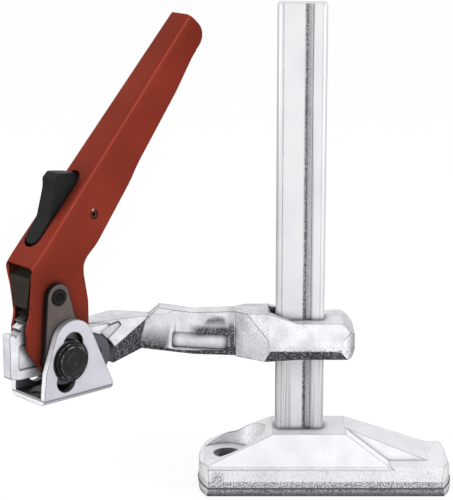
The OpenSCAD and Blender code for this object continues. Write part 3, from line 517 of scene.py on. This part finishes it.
def cutter(name, outline, low, high, upright=False):
    """A prism to cut with: an outline (x, z) carried across the head from y low to high, or
    an outline (s, y) on the lever's web carried from depth low to high."""
    rings = []
    for level in (low, high):
        if upright:
            flat = station(outline[:, 0], level)
            rings.append(head(flat[:, 0], outline[:, 1], flat[:, 1]))
        else:
            rings.append(head(outline[:, 0], level, outline[:, 1]))
    count = len(outline)
    sides = cells(2, count, closed=True).reshape(-1, 4)[:, [0, 3, 2, 1]]
    ends = [list(range(count)), list(range(2 * count - 1, count - 1, -1))]
    mesh = meshed(name, rings, ends + sides.tolist())
    trim = bmesh.new()
    trim.from_mesh(mesh)
    bmesh.ops.recalc_face_normals(trim, faces=trim.faces)
    trim.to_mesh(mesh)
    trim.free()
    return placed(name, mesh)


def ring_of(x, z, radius):
    """A circle's 40 points: (x + radius cos a, z + radius sin a)."""
    a = np.linspace(0, 2 * math.pi, 40, endpoint=False)
    return np.stack([x + radius * np.cos(a), z + radius * np.sin(a)], -1)


# Its holes are punched before the coat: the trigger's slot in the web, a little off its
# middle and with round ends about slot_low and slot_high, and those for journals, pivot,
# plate rivets and the pawl's pin, right through both walls.
slot_r, slot_y, slot_low, slot_high = 6.3, 1.8, 17.3, 54.7
pivot_x, pivot_z = 18.5, 85.5
journal_x, journal_z = 0.0, 87.0
rivet_x, rivet_z = -4.0, 122.6
pin_s, pin_d = 45.1, 15.3
pin_x, pin_z = station(pin_s, pin_d)
beyond = 30.0
a = np.linspace(-math.pi / 2, math.pi / 2, 17)
slot_end = slot_r * np.stack([np.cos(a), np.sin(a)], -1)
slot_outline = np.concatenate([(slot_high, slot_y) + slot_end, (slot_low, slot_y) - slot_end])
tools = [cutter("slot_punch", slot_outline, -4.0, 6.0, upright=True),
         cutter("journal_punch", ring_of(journal_x, journal_z, 6.06), -beyond, beyond),
         cutter("pivot_punch", ring_of(pivot_x, pivot_z, 8.4), -beyond, beyond),
         cutter("rivet_punch", ring_of(rivet_x, rivet_z, 3.5), -beyond, beyond),
         cutter("pin_punch", ring_of(pin_x, pin_z, 2.0), -beyond, beyond)]
for tool in tools:
    punch = shell.modifiers.new(tool.name, "BOOLEAN")
    punch.operation = "DIFFERENCE"
    punch.solver = "EXACT"
    punch.object = tool


def set_off(piece, tools):
    """Turns a piece's live modifiers into its mesh and clears the tools away. Edges sharper
    than 35 degrees stay sharp."""
    graph = bpy.context.evaluated_depsgraph_get()
    mesh = bpy.data.meshes.new_from_object(piece.evaluated_get(graph))
    piece.modifiers.clear()
    piece.data = mesh
    for tool in tools:
        bpy.data.objects.remove(tool)
    mesh.polygons.foreach_set("use_smooth", [True] * len(mesh.polygons))
    mesh.set_sharp_from_angle(angle=math.radians(35))


set_off(shell, tools)

# Red polyester powder coat: satin, with an orange peel of about 1.3 mm, and paler over
# the two folds as a painted highlight. The two directions are the folds' normals.
red_coat, tree, place = surface("red_powder_coat_on_steel")
normal = put(tree, "TexCoord", out="Normal")
peel = put(tree, "TexNoise", {"Vector": place, "Scale": 1 / (1.3 * mm), "Detail": 2.0,
                              "Roughness": 0.5})
fade = put(tree, "TexNoise", {"Vector": place, "Scale": 1 / (30 * mm), "Detail": 2.0})
faded = put(tree, "MapRange", {0: fade, 1: 0.3, 2: 0.7, 3: 0.0, 4: 1.0})
red = put(tree, "Mix", {0: faded, 6: linear("7A2B1D"), 7: linear("702619")}, data_type="RGBA")
near_fold = put(tree, "VectorMath", {0: normal, 1: (0.086, -0.874, 0.479)},
                operation="DOT_PRODUCT")
far_fold = put(tree, "VectorMath", {0: normal, 1: (-0.860, 0.177, 0.479)},
               operation="DOT_PRODUCT")
fold_highlight = put(tree, "MapRange", {0: union(tree, near_fold, far_fold), 1: 0.975, 2: 0.998,
                                   3: 0.0, 4: 0.6})
red = tinted(tree, red, fold_highlight, "984436")
# It is dark with oil and painted shade within 3.2 mm of the pawl pin's axis, and a pale
# painted highlight sits just above the pin.
for spot, full, gone, strength, code in (
        ((pin_x, 0.0, pin_z), 2.4, 3.2, 0.85, "241210"),
        ((pin_x - 0.7, -11.0, pin_z + 2.4), 0.5, 1.0, 0.9, "B5948A")):
    off = put(tree, "VectorMath", {0: place, 1: tuple(head(*spot))}, operation="SUBTRACT")
    off = put(tree, "VectorMath", {0: off, 1: near_way}, operation="CROSS_PRODUCT")
    off = put(tree, "VectorMath", {0: off}, operation="LENGTH")
    mark = put(tree, "MapRange", {0: off, 1: full * mm, 2: gone * mm, 3: strength, 4: 0.0})
    red = tinted(tree, red, mark, code)
# Painted shade darkens the coat where the channel closes in, inside and round the holes.
red = shaded_in_corners(tree, red, 14 * mm, "2A1712", 0.3)
relief = put(tree, "Bump", {"Strength": 0.12, "Distance": 0.2 * mm, "Height": peel})
coat = put(tree, "BsdfPrincipled", {"Base Color": red, "Metallic": 0.0, "Roughness": 0.5,
                                    "Specular IOR Level": 0.06, "Normal": relief})
put(tree, "OutputMaterial", {"Surface": coat})
shell.data.materials.clear()
shell.data.materials.append(red_coat)
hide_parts("lever_handle")
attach(shell, "lever")

# Side plates: stamped steel, phosphated to a warm dark grey and riveted to the lever.
# Below 108 mm they are bluer as a painted reflection, and their sheared edges are black with
# oil and darker still as painted shade, with painted shade lines along the edges. Phosphate
# crystals are far too fine to show, so they are drawn at 1.2 mm.
phosphate, tree, place = surface("phosphated_steel_plate")
normal = put(tree, "TexCoord", out="Normal")
crystal = put(tree, "TexNoise", {"Vector": place, "Scale": 1 / (1.2 * mm), "Detail": 3.0,
                                 "Roughness": 0.6})
cloud = put(tree, "TexNoise", {"Vector": place, "Scale": 1 / (10 * mm), "Detail": 2.0})
clouded = put(tree, "MapRange", {0: cloud, 1: 0.3, 2: 0.7, 3: 0.0, 4: 1.0})
grey = put(tree, "Mix", {0: clouded, 6: linear("5B504D"), 7: linear("4B4341")}, data_type="RGBA")
z = put(tree, "SeparateXYZ", {0: place}, out="Z")
# Painted reflection: bluer below 108 mm.
low = put(tree, "MapRange", {0: z, 1: 93 * mm, 2: 108 * mm, 3: 0.9, 4: 0.0})
grey = tinted(tree, grey, low, "4C4C56")
# The rim faces: black with oil, and darker still as painted shade.
facing = put(tree, "VectorMath", {0: normal, 1: near_way}, operation="DOT_PRODUCT")
facing = put(tree, "Math", {0: facing}, operation="ABSOLUTE")
rim_oil_and_shade = put(tree, "MapRange", {0: facing, 1: 0.7, 2: 0.97, 3: 0.95, 4: 0.0})
grey = tinted(tree, grey, rim_oil_and_shade, "161415")
grey = tinted(tree, grey, edge_shade_lines(tree, 0.9 * mm, 0.85), "161415")
relief = put(tree, "Bump", {"Strength": 0.15, "Distance": 0.2 * mm, "Height": crystal})
metal = put(tree, "BsdfPrincipled", {"Base Color": grey, "Metallic": 0.45, "Roughness": 0.5,
                                     "Normal": relief})
put(tree, "OutputMaterial", {"Surface": metal})
for node in ("side_plate_near", "side_plate_far"):
    softened(node, "lever", phosphate, 0.3 * mm)

# Plate rivets: mild steel, upset cold, so each has a low dome with a punch dimple. They
# are black with oil, and a faint painted highlight lies round the rim of the dimple.
oiled_rivet, tree, place = surface("oil_blackened_rivet")
smut = put(tree, "TexNoise", {"Vector": place, "Scale": 1 / (1.5 * mm), "Detail": 3.0})
black = put(tree, "Mix", {0: smut, 6: linear("070505"), 7: linear("100C0D")}, data_type="RGBA")
black = tinted(tree, black, put(tree, "Attribute", out="Fac", attribute_name="highlight"), "1C1718")
metal = put(tree, "BsdfPrincipled", {"Base Color": black, "Roughness": 0.55,
                                     "Specular IOR Level": 0.12})
put(tree, "OutputMaterial", {"Surface": metal})


def turned(name, x, z, side, profile, highlight, material, node, body, count=72):
    """A turned part about an axis across the head: a profile point (w, r) gives the ring
    (x + r cos a, side w, z + r sin a); the share given for each profile point tells how
    much painted highlight it carries."""
    a = np.linspace(0, 2 * math.pi, count, endpoint=False)
    w, r = np.array(profile).T[:, :, None]
    points = head(x + r * np.cos(a), side * w, z + r * np.sin(a))
    faces = cells(len(profile), count, closed=True).reshape(-1, 4)
    mesh = meshed(name, points, (faces if side < 0 else faces[:, ::-1]).tolist())
    mark = mesh.attributes.new("highlight", "FLOAT", "POINT")
    mark.data.foreach_set("value", np.repeat(np.asarray(highlight, float), count))
    shape = bmesh.new()
    shape.from_mesh(mesh)
    bmesh.ops.remove_doubles(shape, verts=shape.verts, dist=1e-6)
    bmesh.ops.recalc_face_normals(shape, faces=shape.faces)
    shape.to_mesh(mesh)
    shape.free()
    mesh.polygons.foreach_set("use_smooth", [True] * len(mesh.polygons))
    mesh.set_sharp_from_angle(angle=math.radians(40))
    mesh.materials.append(material)
    piece = placed(name, mesh)
    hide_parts(node)
    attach(piece, body)


rivet_profile = [(4.2, 0.0), (4.2, 4.3), (4.5, 4.7), (5.4, 4.7), (5.4, 3.5), (10.9, 3.5),
                 (10.9, 4.5), (11.1, 4.7), (11.5, 4.65), (11.9, 4.2), (12.1, 3.4), (12.1, 2.9),
                 (11.9, 2.6), (11.4, 2.1), (11.2, 1.2), (11.15, 0.0)]
rivet_highlight = [0] * 8 + [0.2, 0.4, 0.6, 1.0, 0.4, 0, 0, 0]
for side, end in ((-1, "near"), (1, "far")):
    turned("rivet_" + end, rivet_x, rivet_z, side, rivet_profile, rivet_highlight, oiled_rivet,
           "plate_rivet_" + end, "lever", 48)

# Pawl: a steel forging that fills the mouth of the lever between its walls, so it widens
# forward with them. It is black with oil that has gone olive brown.
oiled_pawl, tree, place = surface("oil_blackened_forging")
smut = put(tree, "TexNoise", {"Vector": place, "Scale": 1 / (1.5 * mm), "Detail": 4.0,
                              "Roughness": 0.6})
uneven = put(tree, "MapRange", {0: smut, 1: 0.35, 2: 0.7, 3: 0.0, 4: 1.0})
olive = put(tree, "Mix", {0: uneven, 6: linear("2A241D"), 7: linear("1D1916")}, data_type="RGBA")
relief = put(tree, "Bump", {"Strength": 0.15, "Distance": 0.1 * mm, "Height": smut})
metal = put(tree, "BsdfPrincipled", {"Base Color": olive, "Metallic": 0.1, "Roughness": 0.6,
                                     "Specular IOR Level": 0.15, "Normal": relief})
put(tree, "OutputMaterial", {"Surface": metal})


def polar(r, degrees):
    """The point (x, z) at r mm from the lever's pivot, at an angle from level:
    pivot + (r cos, r sin)."""
    turn = math.radians(degrees)
    return np.array([pivot_x + r * math.cos(turn), pivot_z + r * math.sin(turn)])


# Its outline from the side: tooth and chin, front face, the flat that carries the
# trigger inside the web's face, the boss round its pin, and the throat back down.
boss_r, flat_d = 6.5, 7.4
a = np.radians([0, 15, 30, 45, 60, 75, 90])
boss = station(pin_s + boss_r * np.cos(a), pin_d + boss_r * np.sin(a))
t = np.linspace(0, 1, 5)[:, None]
throat = station(20, 20.5) * (1 - t) + polar(51.35, 134.4) * t
pawl_outline = np.vstack([
    polar(49.35, 134.4), polar(51.35, 138.4), polar(51.65, 141.0), polar(52.9, 141.0),
    (-22.2, 121.0), (-22.0, 124.3), (-21.8, 127.6), (-21.8, 131.0), (-21.9, 133.6),
    (-21.2, 135.2), station(-1.5, 6.9),
    station(np.array([3, 12, 24, 38, 51.6]), flat_d), boss, throat])
# Its half width is the channel's less wall and play, kept between slim and wide, and it
# goes down to slim behind the front. The outline shrinks by 0.5 mm at both cheeks.
wall_and_play, slim, wide = 2.5, 5.1, 8.6
pawl_half = np.clip(half_width(*pawl_outline.T) - wall_and_play, slim, wide)
pawl_half = slim + (pawl_half - slim) * smooth(-pawl_outline[:, 0], 8.0, 15.0)
levels = np.array([-1.0, -0.92, -0.5, 0.0, 0.5, 0.92, 1.0])[:, None]
inset = np.array([0.5, 0.0, 0.0, 0.0, 0.0, 0.0, 0.5])[:, None, None]
towards = pawl_outline.mean(axis=0) - pawl_outline
towards /= np.linalg.norm(towards, axis=1)[:, None]
rings = pawl_outline + towards * inset
points = head(rings[..., 0], levels * pawl_half, rings[..., 1])
layers, count = points.shape[:2]
last = layers * count - 1
sides = cells(layers, count, closed=True).reshape(-1, 4)[:, [1, 0, 3, 2]]
ends = [list(range(count)), list(range(last, last - count, -1))]
mesh = meshed("pawl_forging", points, ends + sides.tolist())
shape = bmesh.new()
shape.from_mesh(mesh)
bmesh.ops.triangulate(shape, faces=[face for face in shape.faces if len(face.verts) > 4])
bmesh.ops.recalc_face_normals(shape, faces=shape.faces)
shape.to_mesh(mesh)
shape.free()
mesh.materials.append(oiled_pawl)
pawl = placed("pawl_forging", mesh)
drill = cutter("pawl_bore", ring_of(pin_x, pin_z, 2.06), -20.0, 20.0)
punch = pawl.modifiers.new("pawl_bore", "BOOLEAN")
punch.solver = "EXACT"
punch.object = drill
set_off(pawl, [drill])
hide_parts("pawl")
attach(pawl, "pawl")

# Pawl's hollow pin: steel tube that was in the lever when the coat was sprayed, so its
# ends are brown red. Its bore is darkened as painted shade.
coated_pin, tree, place = surface("overcoated_steel_pin")
smear = put(tree, "TexNoise", {"Vector": place, "Scale": 1 / (1.0 * mm), "Detail": 2.0})
brown = put(tree, "Mix", {0: smear, 6: linear("4A211A"), 7: linear("5E2A20")}, data_type="RGBA")
brown = shaded_in_corners(tree, brown, 2 * mm, "0E0706", 0.3)
coat = put(tree, "BsdfPrincipled", {"Base Color": brown, "Roughness": 0.45,
                                    "Specular IOR Level": 0.3})
put(tree, "OutputMaterial", {"Surface": coat})
softened("pawl_pin", "lever", coated_pin, 0.2 * mm)

# Pawl's torsion spring: 2.4 turns of 0.9 mm bright spring wire on the pin beside the
# pawl, with two straight ends. The wire's drawn surface has a faint smear.
bright_steel, tree, place = surface("bright_spring_steel")
smear = put(tree, "TexNoise", {"Vector": place, "Scale": 1 / (1.0 * mm), "Detail": 2.0})
gloss = put(tree, "MapRange", {0: smear, 1: 0.3, 2: 0.7, 3: 0.22, 4: 0.38})
steel = put(tree, "Mix", {0: smear, 6: linear("A9A9AC"), 7: linear("BDBDC0")}, data_type="RGBA")
metal = put(tree, "BsdfPrincipled", {"Base Color": steel, "Metallic": 1.0, "Roughness": gloss})
put(tree, "OutputMaterial", {"Surface": metal})
# Its centre line is (2.55 cos a, w, 2.55 sin a) about the pin, with w rising 1 mm a turn
# from 5.95 mm, and a straight end along the tangent at both ends. The wire is a ring of
# 10 points at 0.45 mm about it, square to the line.
wire_r, coil_r = 0.45, 2.55
a = np.linspace(math.radians(130), math.radians(130) + 2 * math.pi * 2.4, 110)
w = 5.95 + 1.0 * (a - a[0]) / (2 * math.pi)
coil = np.stack([pin_x + coil_r * np.cos(a), w, pin_z + coil_r * np.sin(a)], -1)
back = np.array([math.sin(a[0]), 0, -math.cos(a[0])])
ahead = np.array([-math.sin(a[-1]), 0, math.cos(a[-1])])
path = np.concatenate([coil[0] + back * np.linspace(7.0, 0.7, 8)[:, None], coil,
                       coil[-1] + ahead * np.linspace(0.7, 6.0, 8)[:, None]])
path[:, 1] *= -1
tangent = np.gradient(path, axis=0)
tangent /= np.linalg.norm(tangent, axis=1)[:, None]
one = np.cross(tangent, [0.0, 1.0, 0.0])
one /= np.linalg.norm(one, axis=1)[:, None]
two = np.cross(tangent, one)
b = np.linspace(0, 2 * math.pi, 10, endpoint=False)[:, None]
rings = path[:, None] + wire_r * (np.cos(b) * one[:, None] + np.sin(b) * two[:, None])
points = head(rings[..., 0], rings[..., 1], rings[..., 2])
total = points.shape[0] * points.shape[1]
sides = cells(*points.shape[:2], closed=True).reshape(-1, 4)
ends = [list(range(9, -1, -1)), list(range(total - 10, total))]
mesh = meshed("pawl_coil_spring", points, sides.tolist() + ends)
mesh.polygons.foreach_set("use_smooth", [True] * len(mesh.polygons))
mesh.materials.append(bright_steel)
spring = placed("pawl_coil_spring", mesh)
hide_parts("pawl_spring")
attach(spring, "lever")

# Trigger button: black glass filled nylon, moulded in a spark eroded tool. The tool's
# fine matt skin is drawn at 0.9 mm so that it shows.
nylon, tree, place = surface("black_moulded_nylon")
skin = put(tree, "TexNoise", {"Vector": place, "Scale": 1 / (0.9 * mm), "Detail": 2.0})
black = put(tree, "Mix", {0: skin, 6: linear("0E0F10"), 7: linear("161718")}, data_type="RGBA")
relief = put(tree, "Bump", {"Strength": 0.2, "Distance": 0.2 * mm, "Height": skin})
plastic = put(tree, "BsdfPrincipled", {"Base Color": black, "Roughness": 0.5,
                                       "Specular IOR Level": 0.13, "Normal": relief})
put(tree, "OutputMaterial", {"Surface": plastic})
softened("trigger_button", "pawl", nylon, 0.7 * mm, 3)

# Journals: turned steel in three steps, blackened. Their chamfered corners carry a painted
# highlight, broken into patches of about 3.5 mm.
turned_black, tree, place = surface("turned_blackened_steel")
smut = put(tree, "TexNoise", {"Vector": place, "Scale": 1 / (2 * mm), "Detail": 3.0})
black = put(tree, "Mix", {0: smut, 6: linear("151516"), 7: linear("1F1F21")}, data_type="RGBA")
patchy = put(tree, "TexNoise", {"Vector": place, "Scale": 1 / (3.5 * mm), "Detail": 2.0})
patchy = put(tree, "MapRange", {0: patchy, 1: 0.48, 2: 0.6, 3: 0.0, 4: 0.9})
painted_light = overlap(tree, put(tree, "Attribute", out="Fac", attribute_name="highlight"), patchy)
black = tinted(tree, black, painted_light, "8E8E92")
metal = put(tree, "BsdfPrincipled", {"Base Color": black, "Metallic": 0.4, "Roughness": 0.42,
                                     "Specular IOR Level": 0.3})
put(tree, "OutputMaterial", {"Surface": metal})
journal_profile = [(4.1, 0.0), (4.1, 7.2), (4.4, 7.5), (5.3, 7.5), (5.3, 6.0), (11.0, 6.0),
                   (11.0, 11.3), (11.3, 11.6), (14.5, 11.6), (14.6, 11.55), (14.75, 11.4),
                   (14.8, 11.25), (14.8, 10.3), (15.0, 10.25), (16.2, 10.25), (16.3, 10.2),
                   (16.45, 10.05), (16.5, 9.9), (16.5, 8.9), (17.7, 8.9), (17.8, 8.88),
                   (18.0, 8.7), (18.1, 8.5), (18.1, 8.35), (18.1, 5.6), (18.04, 5.5),
                   (18.04, 5.3), (18.1, 5.2), (18.1, 1.6), (17.9, 1.2), (17.9, 0.0)]
journal_highlight = [0] * 9 + [1, 1, 0, 0, 0, 0, 1, 1, 0, 0, 0, 0.5, 1, 0.8] + [0] * 8
for side, end in ((-1, "near"), (1, "far")):
    turned("journal_turned_" + end, journal_x, journal_z, side, journal_profile, journal_highlight,
           turned_black, "journal_" + end, "journals")

# Pressure bracket: 3.7 mm sheet steel, punched, folded to a U and zinc plated. Rolled
# sheet is smooth, with a fine grain drawn at 1.1 mm so that it shows, and where it was
# sheared, on the faces that look along the head, it is lightened as painted light.
sheet_zinc, tree, place = surface("zinc_plated_sheet_steel")
normal = put(tree, "TexCoord", out="Normal")
z = put(tree, "SeparateXYZ", {0: place}, out="Z")
grain = put(tree, "TexNoise", {"Vector": place, "Scale": 1 / (1.1 * mm), "Detail": 3.0,
                               "Roughness": 0.6})
cloud = put(tree, "TexNoise", {"Vector": place, "Scale": 1 / (12 * mm), "Detail": 2.0})
clouded = put(tree, "MapRange", {0: cloud, 1: 0.3, 2: 0.7, 3: 0.0, 4: 1.0})
zinc = put(tree, "Mix", {0: clouded, 6: linear("C6C5CD"), 7: linear("BAB9C2")}, data_type="RGBA")
end_on = put(tree, "VectorMath", {0: normal, 1: head_way}, operation="DOT_PRODUCT")
end_on = put(tree, "Math", {0: end_on}, operation="ABSOLUTE")
end_face_light = put(tree, "MapRange", {0: end_on, 1: 0.55, 2: 0.9, 3: 0.0, 4: 0.9})
zinc = tinted(tree, zinc, end_face_light, "F4F4F6")
# A dark line of painted shade runs along the fold, 67.2 to 67.7 mm up, and painted shade,
# broken by a speckle, lies on the floor between the cheeks, below 69 mm.
zinc = tinted(tree, zinc, between(tree, z, 67.2, 67.7, 0.4, 0.8), "4A4950")
upward = put(tree, "SeparateXYZ", {0: normal}, out="Z")
upward = put(tree, "MapRange", {0: upward, 1: 0.6, 2: 0.9, 3: 0.0, 4: 1.0})
floor_speckle = put(tree, "MapRange", {0: grain, 1: 0.4, 2: 0.6, 3: 0.92, 4: 0.6})
floor_shade = overlap(tree, upward, floor_speckle, between(tree, z, 60.0, 69.0, 0.5))
zinc = tinted(tree, zinc, floor_shade, "232226")
# Dark lines of painted shade run along the edges, and painted shade darkens its inside.
zinc = tinted(tree, zinc, edge_shade_lines(tree, 0.8 * mm, 0.9), "2E2D33")
zinc = shaded_in_corners(tree, zinc, 20 * mm, "1C1B1F", 0.3)
gloss = put(tree, "MapRange", {0: grain, 1: 0.3, 2: 0.7, 3: 0.3, 4: 0.44})
relief = put(tree, "Bump", {"Strength": 0.12, "Distance": 0.2 * mm, "Height": grain})
metal = put(tree, "BsdfPrincipled", {"Base Color": zinc, "Metallic": 0.35, "Roughness": gloss,
                                     "Normal": relief})
put(tree, "OutputMaterial", {"Surface": metal})
softened("pressure_bracket", "bracket", sheet_zinc, 0.5 * mm, 3)

# Studio: a white floor, 6 m across, that keeps a faint shadow. A dark cloth lies under
# the object and a dark strip before it on the left, both out of the camera's sight, so
# that undersides and the arm's hollow stay dark.
floor_half, floor_down = 3.0, -0.0002
corners = [(-1, -1), (1, -1), (1, 1), (-1, 1)]
floor_mesh = meshed("studio_floor", [(a * floor_half, b * floor_half, floor_down)
                                     for a, b in corners], [(0, 1, 2, 3)])
floor = placed("studio_floor", floor_mesh)
floor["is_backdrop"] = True
paper, tree, place = surface("white_paper_floor")
x, y, _ = put(tree, "SeparateXYZ", {0: place}).node.outputs
seen_by_camera = put(tree, "LightPath", out="Is Camera Ray")
matt = put(tree, "BsdfDiffuse", {"Color": linear("F4F4F4")})
glow = put(tree, "Emission", {"Color": linear("FFFFFF"), "Strength": 1.0})
white = put(tree, "MixShader", {0: 0.82, 1: matt, 2: glow})
cloth = put(tree, "MapRange", {0: y, 1: -35 * mm, 2: 0.0, 3: 0.0, 4: 1.0})
strip_near = put(tree, "MapRange", {0: y, 1: -200 * mm, 2: -150 * mm, 3: 0.0, 4: 1.0})
strip_far = put(tree, "MapRange", {0: y, 1: -100 * mm, 2: -70 * mm, 3: 1.0, 4: 0.0})
strip_left = put(tree, "MapRange", {0: x, 1: -30 * mm, 2: 0.0, 3: 1.0, 4: 0.0})
strip = overlap(tree, strip_near, strip_far, strip_left)
ground = put(tree, "Mix", {0: union(tree, cloth, strip), 6: linear("FAFAFA"),
                           7: linear("2C2C2E")}, data_type="RGBA")
dim = put(tree, "BsdfDiffuse", {"Color": ground})
seen = put(tree, "MixShader", {0: seen_by_camera, 1: dim, 2: white})
put(tree, "OutputMaterial", {"Surface": seen})
floor_mesh.materials.append(paper)

# The surround is white to the camera. It lights the object at 1.05 from above, falling
# to 0.6 below the horizon, and is a little dimmer behind.
world = bpy.data.worlds.new("studio_surround")
bpy.context.scene.world = world
world.use_nodes = True
tree = world.node_tree
tree.nodes.clear()
_, y, z = put(tree, "SeparateXYZ", {0: put(tree, "TexCoord", out="Generated")}).node.outputs
lift = put(tree, "MapRange", {0: z, 1: -0.1, 2: 0.3, 3: 0.6, 4: 1.05})
behind = put(tree, "MapRange", {0: y, 1: -1.0, 2: 1.0, 3: 1.0, 4: 0.95})
seen_by_camera = put(tree, "LightPath", out="Is Camera Ray")
level = put(tree, "Mix", {0: seen_by_camera, 2: overlap(tree, lift, behind), 3: 1.0})
sky = put(tree, "Background", {"Color": linear("FFFFFF"), "Strength": level})
put(tree, "OutputWorld", {"Surface": sky})


def softbox(name, spot, aim, width, height, watts):
    """A rectangular lamp at spot that faces aim: tipped from straight down by the angle of
    its way to aim, and turned by that way's heading less a quarter turn."""
    lamp = bpy.data.lights.new(name, "AREA")
    lamp.shape = "RECTANGLE"
    lamp.size = width
    lamp.size_y = height
    lamp.energy = watts
    holder = placed(name, lamp)
    holder.location = spot
    way = np.array(aim) - np.array(spot)
    level_way = math.hypot(way[0], way[1])
    holder.rotation_euler = (math.atan2(level_way, -way[2]), 0.0,
                             math.atan2(way[1], way[0]) - math.pi / 2)


softbox("key_softbox", (-0.75, -0.75, 1.0), (-0.03, 0.0, 0.12), 0.6, 0.6, 3.0)
softbox("left_softbox", (-0.9, -0.3, 0.12), (-0.08, 0.0, 0.06), 0.4, 0.3, 2.4)
softbox("right_softbox", (0.9, -0.6, 0.4), (0.0, 0.0, 0.1), 0.5, 0.8, 5.0)

# Camera: fitted to the photograph, level from side to side and 14.4 degrees down, with
# a lens of 136.8 mm over a picture 36 mm high.
lens = bpy.data.cameras.new("photo_camera")
lens.sensor_fit = "VERTICAL"
lens.sensor_height = 36.0
lens.lens = 136.8
lens.clip_end = 20.0
camera = placed("photo_camera", lens)
camera.location = (-0.0411, -1.0230, 0.4001)
camera.rotation_euler = (math.radians(75.6), 0.0, 0.0)
bpy.context.scene.camera = camera
bpy.context.scene.view_settings.view_transform = "Standard"

low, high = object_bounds()
{"cad": [list(cad_low), list(cad_high)], "visual": [list(low), list(high)]}
